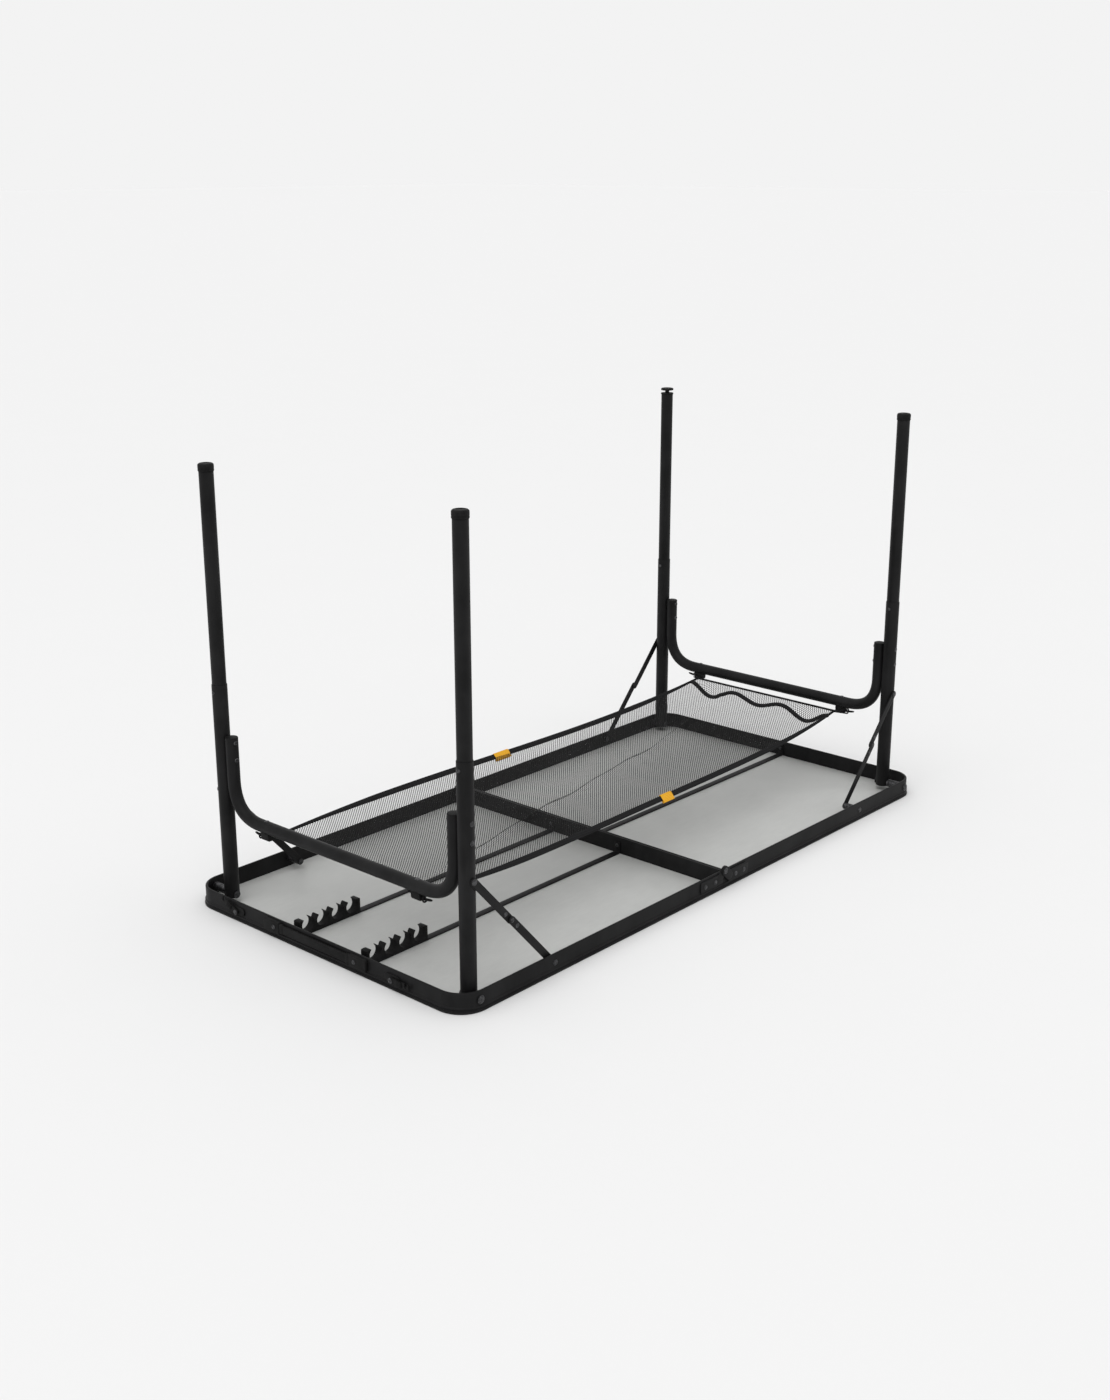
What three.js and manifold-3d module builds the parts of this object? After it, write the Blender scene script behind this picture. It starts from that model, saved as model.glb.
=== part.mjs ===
// Fold-in-half camping table, standing upside down on its tabletop with the legs up.
//
// Millimetres. The origin is the centre of the tabletop face, +X runs along the length
// towards the far end, and +Z runs from the tabletop to the feet. The near half (-X)
// carries the handle, the latches and the racks. The far half is the same tray turned
// half a turn about Z, so every piece is drawn once, in the near half's place.
import * as THREE from 'three';
import { mergeVertices } from 'three/addons/utils/BufferGeometryUtils.js';
import Module from 'manifold-3d';

const wasm = await Module();
wasm.setup();

// ---------------------------------------------------------------- driving dimensions
const GAP = 0.3;                 // between pieces that touch
const TUBE_SIDES = 20;
const PIN_SIDES = 12;
const RIVET_SIDES = 10;
const ARC_STEPS = 4;
const LENGTH = 1200;
const WIDTH = 600;
const HEIGHT = 700;              // tabletop face to the feet

const RIM_HEIGHT = 31;
const WALL = 4;                  // rim wall
const TRIM = 2.5;                // how far the bottom trim stands out of the rim wall
const CORNER = 45;               // outer corner radius, over the trim
const HALF_GAP = 0.25;           // each half stops this far from the middle
const PANEL = 3;

const WALL_OUT = TRIM;           // insets from the outer box
const WALL_IN = TRIM + WALL;
const END_FACE = LENGTH / 2 - WALL_OUT;
const SIDE_FACE = WIDTH / 2 - WALL_OUT;
const SIDE_INNER = WIDTH / 2 - WALL_IN;

const HINGE_Z = 31.4;            // axis of the table's fold, just above the rims

const LEG_X = 561;
const LEG_SHIFT = 12.3;          // both legs of a half sit this far off centre
const LEG_SPACING = 524;
const LEG_R = 12;
const LEG_BORE_R = 11.3;
const LEG_TOP = 362;
const LEG_BORE_FLOOR = 24.3;
const PIVOT_Z = 17.3;
const LEG_BELOW_PIVOT = 6;
const PIN_R = 4;

const TUBE_R = 11.1;             // extension tube
const TUBE_BORE_R = 10.1;
const TUBE_BOTTOM = 345;
const TUBE_TOP = 688;
const TUBE_TRAVEL = 320;

const BUTTON_Z = 350;
const BUTTON_R = 3;
const BUTTON_PROUD = 1.6;

const U_R = 10;                  // U-shaped brace tube
const U_BAR_Z = 153;
const U_TOP = 282;
const U_BEND = 60;
const U_RIVETS = [246, 274];

const LINK_X = 407;              // where the lower brace link is riveted to the rim
const LINK_LEG_Z = 190;          // where the upper brace link is riveted to the leg
const LINK_T = 1.6;
const LINK_HALF_WIDTH = 6;
const STUD_R = 3;
const STUD_HEAD_R = 5;
const UPPER_LINK_OUT = LEG_R + 0.5;
const STUD_HEAD_OUT = UPPER_LINK_OUT + LINK_T + GAP;
const STUD_HEAD_T = 1;
const LOWER_LINK_OUT = STUD_HEAD_OUT + STUD_HEAD_T + 0.5;

const STRAPS = {
  near: { left: 70, right: -80 },
  far: { middle: 0 },
};
const STRAP_WIDTH = 12;
const STRAP_T = 2;

const HOOK_Y = 165;

const LEGS = {
  right: { y: -LEG_SPACING / 2 - LEG_SHIFT, out: -1 },
  left: { y: LEG_SPACING / 2 - LEG_SHIFT, out: 1 },
};

// ---------------------------------------------------------------- solids
function solid(geometry) {
  const bare = geometry.index ? geometry : mergeVertices(geometry);
  const clean = new THREE.BufferGeometry();
  clean.setAttribute('position', bare.getAttribute('position').clone());
  clean.setIndex(bare.index.clone());
  const merged = mergeVertices(clean, 1e-4);
  return new wasm.Manifold(new wasm.Mesh({
    numProp: 3,
    vertProperties: new Float32Array(merged.getAttribute('position').array),
    triVerts: new Uint32Array(merged.index.array),
  }));
}

function geometryOf(manifold) {
  const mesh = manifold.getMesh();
  const geometry = new THREE.BufferGeometry();
  geometry.setAttribute('position', new THREE.BufferAttribute(mesh.vertProperties, 3));
  geometry.setIndex(new THREE.BufferAttribute(mesh.triVerts, 1));
  geometry.computeVertexNormals();
  return geometry;
}

function box(x0, x1, y0, y1, z0, z1) {
  const geometry = new THREE.BoxGeometry(x1 - x0, Math.abs(y1 - y0), z1 - z0);
  geometry.translate((x0 + x1) / 2, (y0 + y1) / 2, (z0 + z1) / 2);
  return solid(geometry);
}

// A turned piece: profile points are [radius, height along the axis].
function turned(profile, sides) {
  const points = profile.map(([r, h]) => new THREE.Vector2(r, h));
  return new THREE.LatheGeometry(points, sides);
}

// A stepped pin along Y: steps are [radius, from, to], measured outward from y = 0.
function pinAlongY(x, z, out, steps) {
  const profile = [[0, steps[0][1]]];
  for (const [radius, from, to] of steps) {
    profile.push([radius, from], [radius, to]);
  }
  profile.push([0, steps.at(-1)[2]]);
  const geometry = turned(profile, PIN_SIDES);
  if (out < 0) geometry.rotateZ(Math.PI);
  geometry.translate(x, 0, z);
  return solid(geometry);
}

// An outline in the XZ plane, extruded in Y from one y to another.
function plateXZ(shape, y0, y1, curveSegments = ARC_STEPS) {
  const low = Math.min(y0, y1);
  const depth = Math.abs(y1 - y0);
  const geometry = new THREE.ExtrudeGeometry(shape, { depth, bevelEnabled: false, curveSegments });
  geometry.rotateX(Math.PI / 2);
  geometry.translate(0, low + depth, 0);
  return solid(geometry);
}

// An outline in the YZ plane, extruded in X.
function plateYZ(shape, x0, x1, curveSegments = ARC_STEPS) {
  const depth = x1 - x0;
  const geometry = new THREE.ExtrudeGeometry(shape, { depth, bevelEnabled: false, curveSegments });
  geometry.rotateX(Math.PI / 2);
  geometry.rotateZ(Math.PI / 2);
  geometry.translate(x0, 0, 0);
  return solid(geometry);
}

function plateXY(shape, z0, z1, curveSegments = ARC_STEPS) {
  const depth = z1 - z0;
  const geometry = new THREE.ExtrudeGeometry(shape, { depth, bevelEnabled: false, curveSegments });
  geometry.translate(0, 0, z0);
  return solid(geometry);
}

// A round-ended bar from one point to another, in whatever plane it is drawn.
function slotShape(ax, ay, bx, by, halfWidth) {
  const angle = Math.atan2(by - ay, bx - ax);
  const shape = new THREE.Shape();
  shape.absarc(ax, ay, halfWidth, angle + Math.PI / 2, angle + 1.5 * Math.PI, false);
  shape.absarc(bx, by, halfWidth, angle - Math.PI / 2, angle + Math.PI / 2, false);
  shape.closePath();
  return shape;
}

function roundHole(shape, x, y, r) {
  const hole = new THREE.Path();
  hole.absarc(x, y, r, 0, 2 * Math.PI, true);
  shape.holes.push(hole);
}

// ---------------------------------------------------------------- the tray of one half
// The rim's outline seen from above, as a band between two insets from the outer box.
function rimBand(outerInset, innerInset) {
  const shape = new THREE.Shape();
  const trace = (inset, reverse) => {
    const x = -LENGTH / 2 + CORNER;
    const y = WIDTH / 2 - CORNER;
    const r = CORNER - inset;
    const edge = WIDTH / 2 - inset;
    if (!reverse) {
      shape.moveTo(-HALF_GAP, -edge);
      shape.lineTo(x, -edge);
      shape.absarc(x, -y, r, -Math.PI / 2, -Math.PI, true);
      shape.absarc(x, y, r, Math.PI, Math.PI / 2, true);
      shape.lineTo(-HALF_GAP, edge);
    } else {
      shape.lineTo(-HALF_GAP, edge);
      shape.absarc(x, y, r, Math.PI / 2, Math.PI, false);
      shape.absarc(x, -y, r, Math.PI, 1.5 * Math.PI, false);
      shape.lineTo(-HALF_GAP, -edge);
    }
  };
  trace(outerInset, false);
  trace(innerInset, true);
  shape.closePath();
  return shape;
}

// The wall, with two trim ridges round its foot, the pin holes and the brace studs.
function rim() {
  let body = plateXY(rimBand(WALL_OUT, WALL_IN), 0, RIM_HEIGHT);
  body = body.add(plateXY(rimBand(0, WALL_IN - 1), 0, 3));
  body = body.add(plateXY(rimBand(0.8, WALL_IN - 1), 6, 9));
  for (const leg of Object.values(LEGS)) {
    const pinHole = [[PIN_R + GAP, SIDE_INNER - 2, WIDTH / 2 + 2]];
    body = body.subtract(pinAlongY(-LEG_X, PIVOT_Z, leg.out, pinHole));
    const lineOut = Math.abs(leg.y);
    const stud = [
      [STUD_HEAD_R, lineOut + STUD_HEAD_OUT, lineOut + STUD_HEAD_OUT + STUD_HEAD_T],
      [STUD_R, lineOut + STUD_HEAD_OUT + STUD_HEAD_T, lineOut + LOWER_LINK_OUT + LINK_T + GAP],
      [LINK_HALF_WIDTH, lineOut + LOWER_LINK_OUT + LINK_T + GAP, SIDE_INNER + 1],
    ];
    body = body.add(pinAlongY(-LINK_X, PIVOT_Z, leg.out, stud));
    const outerHead = [[5, SIDE_FACE - 1, SIDE_FACE + 1], [3.4, SIDE_FACE + 1, SIDE_FACE + 1.8]];
    body = body.add(pinAlongY(-LINK_X, PIVOT_Z, leg.out, outerHead));
  }
  return body;
}

function centreRail() {
  return box(-HALF_GAP - WALL, -HALF_GAP, -SIDE_INNER + GAP, SIDE_INNER - GAP, 0, RIM_HEIGHT);
}

function panel() {
  const shape = new THREE.Shape();
  const right = -HALF_GAP - WALL - GAP;
  const x = -LENGTH / 2 + CORNER;
  const y = WIDTH / 2 - CORNER;
  const r = CORNER - WALL_IN - GAP;
  shape.moveTo(right, -SIDE_INNER + GAP);
  shape.lineTo(right, SIDE_INNER - GAP);
  shape.absarc(x, y, r, Math.PI / 2, Math.PI, false);
  shape.absarc(x, -y, r, Math.PI, 1.5 * Math.PI, false);
  shape.closePath();
  return plateXY(shape, 0, PANEL);
}

// A stiffening strap along the panel, turned up and riveted at both ends.
function strap(y) {
  const x0 = -LENGTH / 2 + WALL_IN + GAP;
  const x1 = -HALF_GAP - WALL - GAP;
  const z0 = PANEL + GAP;
  const half = STRAP_WIDTH / 2;
  const tabHeight = 20;
  let body = box(x0, x1, y - half, y + half, z0, z0 + STRAP_T);
  body = body.add(box(x0, x0 + STRAP_T, y - half, y + half, z0, z0 + tabHeight));
  body = body.add(box(x1 - STRAP_T, x1, y - half, y + half, z0, z0 + tabHeight));
  const rivet = new THREE.CylinderGeometry(2.2, 3.2, 1.4, RIVET_SIDES).rotateZ(-Math.PI / 2);
  const rivetIn = STRAP_T + 0.5;
  const rivetZ = z0 + tabHeight - 6;
  body = body.add(solid(rivet.clone().translate(x0 + rivetIn, y, rivetZ)));
  body = body.add(solid(rivet.clone().rotateZ(Math.PI).translate(x1 - rivetIn, y, rivetZ)));
  return body;
}

// ---------------------------------------------------------------- storage racks
const RACK_PITCH = 29.5;
const RACK_CRADLES = 4;
const RACK_WIDTH = 14;
const RACK_CRADLE_R = 11.6;
const RACK_X0 = -578;
const RACK_FLOOR = PANEL + STRAP_T + 2 * GAP;
const RACK_TUBE_Z = RACK_FLOOR + 3.5 + RACK_CRADLE_R;
const RACK_TOP = RACK_TUBE_Z + 8.5;

function rack(y) {
  const margin = 4;
  const x1 = RACK_X0 + RACK_PITCH * RACK_CRADLES + margin;
  const shape = new THREE.Shape();
  shape.moveTo(RACK_X0 - margin + 2, RACK_FLOOR);
  shape.lineTo(RACK_X0 - margin + 2, RACK_TOP);
  const rise = RACK_TOP - RACK_TUBE_Z;
  const mouth = Math.sqrt(RACK_CRADLE_R ** 2 - rise ** 2);
  const start = Math.atan2(rise, mouth);
  for (let i = 0; i < RACK_CRADLES; i += 1) {
    const cx = RACK_X0 + RACK_PITCH * (i + 0.5);
    shape.lineTo(cx - mouth, RACK_TOP);
    shape.absarc(cx, RACK_TUBE_Z, RACK_CRADLE_R, Math.PI - start, start, false);
  }
  shape.lineTo(x1 - 2, RACK_TOP);
  shape.lineTo(x1 - 2, RACK_FLOOR);
  shape.closePath();
  return plateXZ(shape, y - RACK_WIDTH / 2, y + RACK_WIDTH / 2);
}

// ---------------------------------------------------------------- carry handle, latches
const HANDLE_Y = 6;
const HANDLE_LENGTH = 228;
const HANDLE_FOOT = 36;

function carryHandle() {
  const back = -END_FACE - GAP;
  const front = back - 6;
  const y0 = HANDLE_Y - HANDLE_LENGTH / 2;
  const y1 = HANDLE_Y + HANDLE_LENGTH / 2;
  let body = box(front, front + 4, y0, y1, 11, 29.5);
  body = body.add(box(front, back, y0, y0 + HANDLE_FOOT, 11, 29.5));
  body = body.add(box(front, back, y1 - HANDLE_FOOT, y1, 11, 29.5));
  for (const y of [y0 + HANDLE_FOOT / 2 + 6, y1 - HANDLE_FOOT / 2 - 6]) {
    const rivet = new THREE.CylinderGeometry(4.5, 3, 1.4, RIVET_SIDES).rotateZ(-Math.PI / 2);
    body = body.add(solid(rivet.translate(front - 0.2, y, 20)));
  }
  return body;
}

const LATCH_PIVOT_Z = 16;
const LATCH_REACH = 31;          // pivot to the middle of the notch
const LATCH_TIP = 37;
const LATCH_HALF_WIDTH = 4.5;
const LATCH_FACE = END_FACE + GAP;
const LATCH_PLATE = 2;
const LEVER_IN = LATCH_FACE + LATCH_PLATE + GAP + 0.7;
const LEVER_OUT = LEVER_IN + 2.4;
const LATCHES = {
  left: { y: 188, rest: THREE.MathUtils.degToRad(24), lead: 1 },
  right: { y: -160, rest: THREE.MathUtils.degToRad(180), lead: -1 },
};

function turnedAlongX(y, z, steps, direction) {
  const profile = [[0, steps[0][1]]];
  for (const [radius, from, to] of steps) {
    profile.push([radius, from], [radius, to]);
  }
  profile.push([0, steps.at(-1)[2]]);
  const geometry = turned(profile, PIN_SIDES);
  geometry.rotateZ(direction > 0 ? -Math.PI / 2 : Math.PI / 2);
  geometry.translate(0, y, z);
  return solid(geometry);
}

function latchBase(latch) {
  const plateShape = slotShape(latch.y - 10, LATCH_PIVOT_Z + 1.5, latch.y + 10, LATCH_PIVOT_Z + 1.5, 6.5);
  const plate = plateYZ(plateShape, -LATCH_FACE - LATCH_PLATE, -LATCH_FACE);
  const stud = turnedAlongX(latch.y, LATCH_PIVOT_Z, [
    [2.5, LATCH_FACE + 0.5, LEVER_OUT + GAP],
    [4.2, LEVER_OUT + GAP, LEVER_OUT + GAP + 1.2],
  ], -1);
  return plate.add(stud);
}

// A flat lever with a notch that takes the keeper's stud when the lever stands upright.
function latchLever(latch) {
  const w = LATCH_HALF_WIDTH;
  const lead = latch.lead;
  const shape = new THREE.Shape();
  shape.absarc(0, 0, w, Math.PI / 2, 1.5 * Math.PI, false);
  shape.lineTo(LATCH_TIP, -w);
  shape.lineTo(LATCH_TIP, w);
  shape.closePath();
  roundHole(shape, 0, 0, 2.5 + GAP);
  let lever = plateYZ(shape, -LEVER_OUT, -LEVER_IN);
  const notchEdge = lead > 0 ? [-2.6, w + 1] : [-w - 1, 2.6];
  const notch = box(-LEVER_OUT - 1, -LEVER_IN + 1, LATCH_REACH - 2.6, LATCH_REACH + 2.6, ...notchEdge);
  lever = lever.subtract(notch);
  const tab = box(-LEVER_OUT - 1.8, -LEVER_IN, 12, 22, -w, w);
  return lever.add(tab);
}

function keeper(latch) {
  const plateShape = slotShape(latch.y - 8, 18, latch.y + 8, 18, 6.5);
  const plate = plateYZ(plateShape, LATCH_FACE, LATCH_FACE + LATCH_PLATE);
  const studZ = 2 * HINGE_Z - (LATCH_PIVOT_Z + LATCH_REACH);
  const stud = turnedAlongX(latch.y, studZ, [[2, LATCH_FACE + 0.5, LEVER_OUT + 1.8]], 1);
  return plate.add(stud);
}

// ---------------------------------------------------------------- hinges of the two halves
const LEAF_REACH = 62;
const LEAF_T = 1.8;
const LEAF_Z = [10, 28];
const EAR_R = 8;
const HINGE_PIN_R = 2.6;
const LEAF_FACE = SIDE_FACE + GAP;
const OUTER_LAYER = LEAF_FACE + LEAF_T + GAP;

// The leaf of the near half: a plate, its ear, and the pin that both ears turn on.
function nearLeaf(out) {
  const body = new THREE.Shape();
  body.moveTo(-LEAF_REACH, LEAF_Z[0]);
  body.lineTo(-3, LEAF_Z[0]);
  body.lineTo(-3, LEAF_Z[1]);
  body.lineTo(-LEAF_REACH, LEAF_Z[1]);
  body.closePath();
  let leaf = plateXZ(body, out * LEAF_FACE, out * (LEAF_FACE + LEAF_T));
  leaf = leaf.add(plateXZ(slotShape(-12, 20, 0, HINGE_Z, EAR_R), out * LEAF_FACE, out * (LEAF_FACE + LEAF_T)));
  const head = OUTER_LAYER + LEAF_T + GAP;
  leaf = leaf.add(pinAlongY(0, HINGE_Z, out, [
    [HINGE_PIN_R, LEAF_FACE + 0.5, head],
    [5.2, head, head + 1],
    [3.6, head + 1, head + 1.8],
  ]));
  const rivet = [[4, LEAF_FACE + 0.5, LEAF_FACE + LEAF_T + 1]];
  return leaf.add(pinAlongY(-50, 18, out, rivet)).add(pinAlongY(-24, 18, out, rivet));
}

// The leaf of the far half, joggled outward so that its ear lies over the near one.
function farLeaf(out) {
  const clearOfEar = EAR_R + 1.5;
  let leaf = box(clearOfEar, LEAF_REACH, out * LEAF_FACE, out * (OUTER_LAYER + LEAF_T), ...LEAF_Z);
  const ear = slotShape(0, HINGE_Z, 12, 20, EAR_R);
  roundHole(ear, 0, HINGE_Z, HINGE_PIN_R + GAP);
  leaf = leaf.add(plateXZ(ear, out * OUTER_LAYER, out * (OUTER_LAYER + LEAF_T)));
  const rivet = [[4, OUTER_LAYER + 0.5, OUTER_LAYER + LEAF_T + 1]];
  return leaf.add(pinAlongY(50, 18, out, rivet)).add(pinAlongY(28, 18, out, rivet));
}

// ---------------------------------------------------------------- legs
// The fixed leg: a tube closed at its foot, with the pivot bore and the brace stud.
function leg(side, buttonFacing) {
  const { y, out } = LEGS[side];
  const bottom = PIVOT_Z - LEG_BELOW_PIVOT;
  const profile = [
    [0, bottom], [LEG_R, bottom], [LEG_R, LEG_TOP],
    [LEG_BORE_R, LEG_TOP], [LEG_BORE_R, LEG_BORE_FLOOR], [0, LEG_BORE_FLOOR],
  ];
  const tube = turned(profile, TUBE_SIDES).rotateX(Math.PI / 2).translate(-LEG_X, y, 0);
  let body = solid(tube);
  const lineOut = Math.abs(y);
  const bore = [[PIN_R + GAP, lineOut - LEG_R - 2, lineOut + LEG_R + 2]];
  body = body.subtract(pinAlongY(-LEG_X, PIVOT_Z, out, bore));
  body = body.subtract(buttonHole(y, buttonFacing, BUTTON_R + GAP, BUTTON_Z));
  body = body.add(pinAlongY(-LEG_X, LINK_LEG_Z, out, [
    [STUD_R, lineOut + LEG_BORE_R + 0.1, lineOut + STUD_HEAD_OUT],
    [STUD_HEAD_R, lineOut + STUD_HEAD_OUT, lineOut + STUD_HEAD_OUT + STUD_HEAD_T],
  ]));
  for (const z of U_RIVETS) {
    const flushHead = [[4, lineOut + LEG_BORE_R + 0.1, lineOut + LEG_R + 0.3]];
    body = body.add(pinAlongY(-LEG_X, z, out, flushHead));
  }
  return body;
}

function buttonHole(y, facing, radius, z) {
  const hole = new THREE.CylinderGeometry(radius, radius, 6, RIVET_SIDES).rotateZ(Math.PI / 2);
  return solid(hole.translate(-LEG_X + facing * LEG_R, y, z));
}

function pivotPin(side) {
  const { y, out } = LEGS[side];
  const lineOut = Math.abs(y);
  return pinAlongY(-LEG_X, PIVOT_Z, out, [
    [6, lineOut - LEG_R - GAP - 1.5, lineOut - LEG_R - GAP],
    [PIN_R, lineOut - LEG_R - GAP, lineOut + LEG_R + GAP],
    [7, lineOut + LEG_R + GAP, SIDE_INNER - 3.2],
    [PIN_R, SIDE_INNER - 3.2, SIDE_FACE + GAP],
    [7, SIDE_FACE + GAP, SIDE_FACE + 1.2],
    [4.5, SIDE_FACE + 1.2, SIDE_FACE + 2.2],
  ]);
}

function extensionTube(side, buttonFacing) {
  const { y } = LEGS[side];
  const profile = [
    [TUBE_BORE_R, TUBE_BOTTOM], [TUBE_R, TUBE_BOTTOM], [TUBE_R, TUBE_TOP],
    [TUBE_BORE_R, TUBE_TOP], [TUBE_BORE_R, TUBE_BOTTOM],
  ];
  let body = solid(turned(profile, TUBE_SIDES).rotateX(Math.PI / 2).translate(-LEG_X, y, 0));
  for (const z of [BUTTON_Z, BUTTON_Z + TUBE_TRAVEL]) {
    body = body.subtract(buttonHole(y, buttonFacing, BUTTON_R + 2 * GAP, z));
  }
  return body;
}

function snapButton(side, facing) {
  const { y } = LEGS[side];
  const inner = LEG_BORE_R + 0.1;
  const outer = LEG_R + BUTTON_PROUD;
  const profile = [[0, inner], [BUTTON_R, inner], [BUTTON_R, outer - 0.9], [BUTTON_R * 0.6, outer], [0, outer]];
  const geometry = turned(profile, RIVET_SIDES).rotateZ(facing > 0 ? -Math.PI / 2 : Math.PI / 2);
  return solid(geometry.translate(-LEG_X, y, BUTTON_Z));
}

const FOOT_CHAMFER = 2;
const FOOT_PLUG_R = TUBE_BORE_R - GAP;
const FOOT_PLUG = 15;

function footCap(side) {
  const { y } = LEGS[side];
  const profile = [
    [0, TUBE_TOP - FOOT_PLUG], [FOOT_PLUG_R, TUBE_TOP - FOOT_PLUG], [FOOT_PLUG_R, TUBE_TOP + GAP],
    [LEG_R, TUBE_TOP + GAP], [LEG_R, HEIGHT - FOOT_CHAMFER], [LEG_R - FOOT_CHAMFER, HEIGHT], [0, HEIGHT],
  ];
  return solid(turned(profile, TUBE_SIDES).rotateX(Math.PI / 2).translate(-LEG_X, y, 0));
}

const LEVEL_CAP_TOP = 691;
const LEVEL_DISC = 4;
const LEVEL_STUD_R = 4;

// The cap of the adjustable foot: a collar with a bore for the levelling stud.
function levellingCap(side) {
  const { y } = LEGS[side];
  const bore = LEVEL_STUD_R + GAP;
  const profile = [
    [bore, TUBE_TOP - FOOT_PLUG], [FOOT_PLUG_R, TUBE_TOP - FOOT_PLUG], [FOOT_PLUG_R, TUBE_TOP + GAP],
    [LEG_R, TUBE_TOP + GAP], [LEG_R, LEVEL_CAP_TOP], [bore, LEVEL_CAP_TOP], [bore, TUBE_TOP - FOOT_PLUG],
  ];
  return solid(turned(profile, TUBE_SIDES).rotateX(Math.PI / 2).translate(-LEG_X, y, 0));
}

function levellingFoot(side) {
  const { y } = LEGS[side];
  const discBottom = HEIGHT - LEVEL_DISC;
  const profile = [
    [0, TUBE_TOP - 22], [LEVEL_STUD_R, TUBE_TOP - 22], [LEVEL_STUD_R, discBottom],
    [LEG_R, discBottom], [LEG_R, HEIGHT - 1.2], [LEG_R - 1.2, HEIGHT], [0, HEIGHT],
  ];
  return solid(turned(profile, TUBE_SIDES).rotateX(Math.PI / 2).translate(-LEG_X, y, 0));
}

// ---------------------------------------------------------------- U-shaped brace tube
const U_ARM = LEG_SPACING / 2 - LEG_R - GAP - U_R;

function bracePath() {
  const path = new THREE.CurvePath();
  const bend = U_ARM - U_BEND;
  const at = (y, z) => new THREE.Vector3(0, y, z);
  path.add(new THREE.LineCurve3(at(-U_ARM, U_TOP), at(-U_ARM, U_BAR_Z + U_BEND)));
  path.add(new THREE.QuadraticBezierCurve3(at(-U_ARM, U_BAR_Z + U_BEND), at(-U_ARM, U_BAR_Z), at(-bend, U_BAR_Z)));
  path.add(new THREE.LineCurve3(at(-bend, U_BAR_Z), at(bend, U_BAR_Z)));
  path.add(new THREE.QuadraticBezierCurve3(at(bend, U_BAR_Z), at(U_ARM, U_BAR_Z), at(U_ARM, U_BAR_Z + U_BEND)));
  path.add(new THREE.LineCurve3(at(U_ARM, U_BAR_Z + U_BEND), at(U_ARM, U_TOP)));
  return path;
}

function braceTube() {
  const section = new THREE.Shape();
  section.absarc(0, 0, U_R, 0, 2 * Math.PI, false);
  const tube = new THREE.ExtrudeGeometry(section, {
    extrudePath: bracePath(), steps: 28, curveSegments: 6, bevelEnabled: false,
  });
  let body = solid(tube.translate(-LEG_X, -LEG_SHIFT, 0));
  for (const [name, { y }] of Object.entries(LEGS)) {
    const inward = name === 'right' ? 1 : -1;
    const armFace = y + inward * (LEG_R + GAP + 2 * U_R);
    for (const z of U_RIVETS) {
      const rivet = new THREE.CylinderGeometry(3.4, 4, 2, RIVET_SIDES).rotateX(inward * Math.PI / 2);
      body = body.add(solid(rivet.translate(-LEG_X, armFace - inward * 0.1, z)));
    }
  }
  for (const y of [-HOOK_Y, HOOK_Y]) {
    const screw = new THREE.CylinderGeometry(3.2, 4, 2, RIVET_SIDES).rotateX(Math.PI / 2);
    body = body.add(solid(screw.translate(-LEG_X, y - LEG_SHIFT, U_BAR_Z + U_R)));
  }
  return body;
}

// A plastic saddle under the cross bar, with a prong for the corner loop of the shelf.
function shelfHook(out) {
  const middle = out * HOOK_Y - LEG_SHIFT;
  const prongZ = U_BAR_Z - U_R - 6.5;
  let body = box(-LEG_X - 6, -LEG_X + 6, middle - 9, middle + 9, prongZ - 3.5, U_BAR_Z - 4);
  const bar = new THREE.CylinderGeometry(U_R + GAP, U_R + GAP, 40, TUBE_SIDES);
  body = body.subtract(solid(bar.translate(-LEG_X, middle, U_BAR_Z)));
  const prong = new THREE.CapsuleGeometry(2.4, 22, 3, 8);
  body = body.add(solid(prong.translate(-LEG_X, middle + out * 16, prongZ)));
  return body;
}

// ---------------------------------------------------------------- folding braces
// Lengths that lie straight with the leg up, and flat along it with the leg folded.
const LEG_ARM = LINK_LEG_Z - PIVOT_Z;
const RIM_ARM = LEG_X - LINK_X;
const LINK_SUM = Math.hypot(LEG_ARM, RIM_ARM);
const LINK_DIFFERENCE = LEG_ARM - RIM_ARM;
const LINK_UPPER = (LINK_SUM - LINK_DIFFERENCE) / 2;
const KNEE_X = -LEG_X + RIM_ARM * LINK_UPPER / LINK_SUM;
const KNEE_Z = LINK_LEG_Z - LEG_ARM * LINK_UPPER / LINK_SUM;

function link(side, x, z, offset) {
  const { y, out } = LEGS[side];
  const inner = Math.abs(y) + offset;
  const shape = slotShape(x, z, KNEE_X, KNEE_Z, LINK_HALF_WIDTH);
  roundHole(shape, x, z, STUD_R + GAP);
  const body = plateXZ(shape, out * inner, out * (inner + LINK_T));
  return body.add(pinAlongY(KNEE_X, KNEE_Z, out, [[4, inner + 0.5, inner + LINK_T + 1.1]]));
}

function upperLink(side) {
  return link(side, -LEG_X, LINK_LEG_Z, UPPER_LINK_OUT);
}

function lowerLink(side) {
  return link(side, -LINK_X, PIVOT_Z, LOWER_LINK_OUT);
}

// ---------------------------------------------------------------- mesh shelf
const SHELF_HALF_WIDTH = 150;
const SHELF_T = 2;

// Half of the mesh shelf: a thin sheet that sags from the hooks to the middle.
function shelfHalf() {
  const end = -LEG_X + 18;
  const hungAt = 133;
  const middle = 112;
  const shape = new THREE.Shape();
  shape.moveTo(end, hungAt);
  shape.quadraticCurveTo(end * 0.55, middle, -0.6, middle);
  shape.lineTo(-0.6, middle + SHELF_T);
  shape.quadraticCurveTo(end * 0.55, middle + SHELF_T, end, hungAt + SHELF_T);
  shape.closePath();
  return plateXZ(shape, -SHELF_HALF_WIDTH, SHELF_HALF_WIDTH, 8);
}

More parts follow.
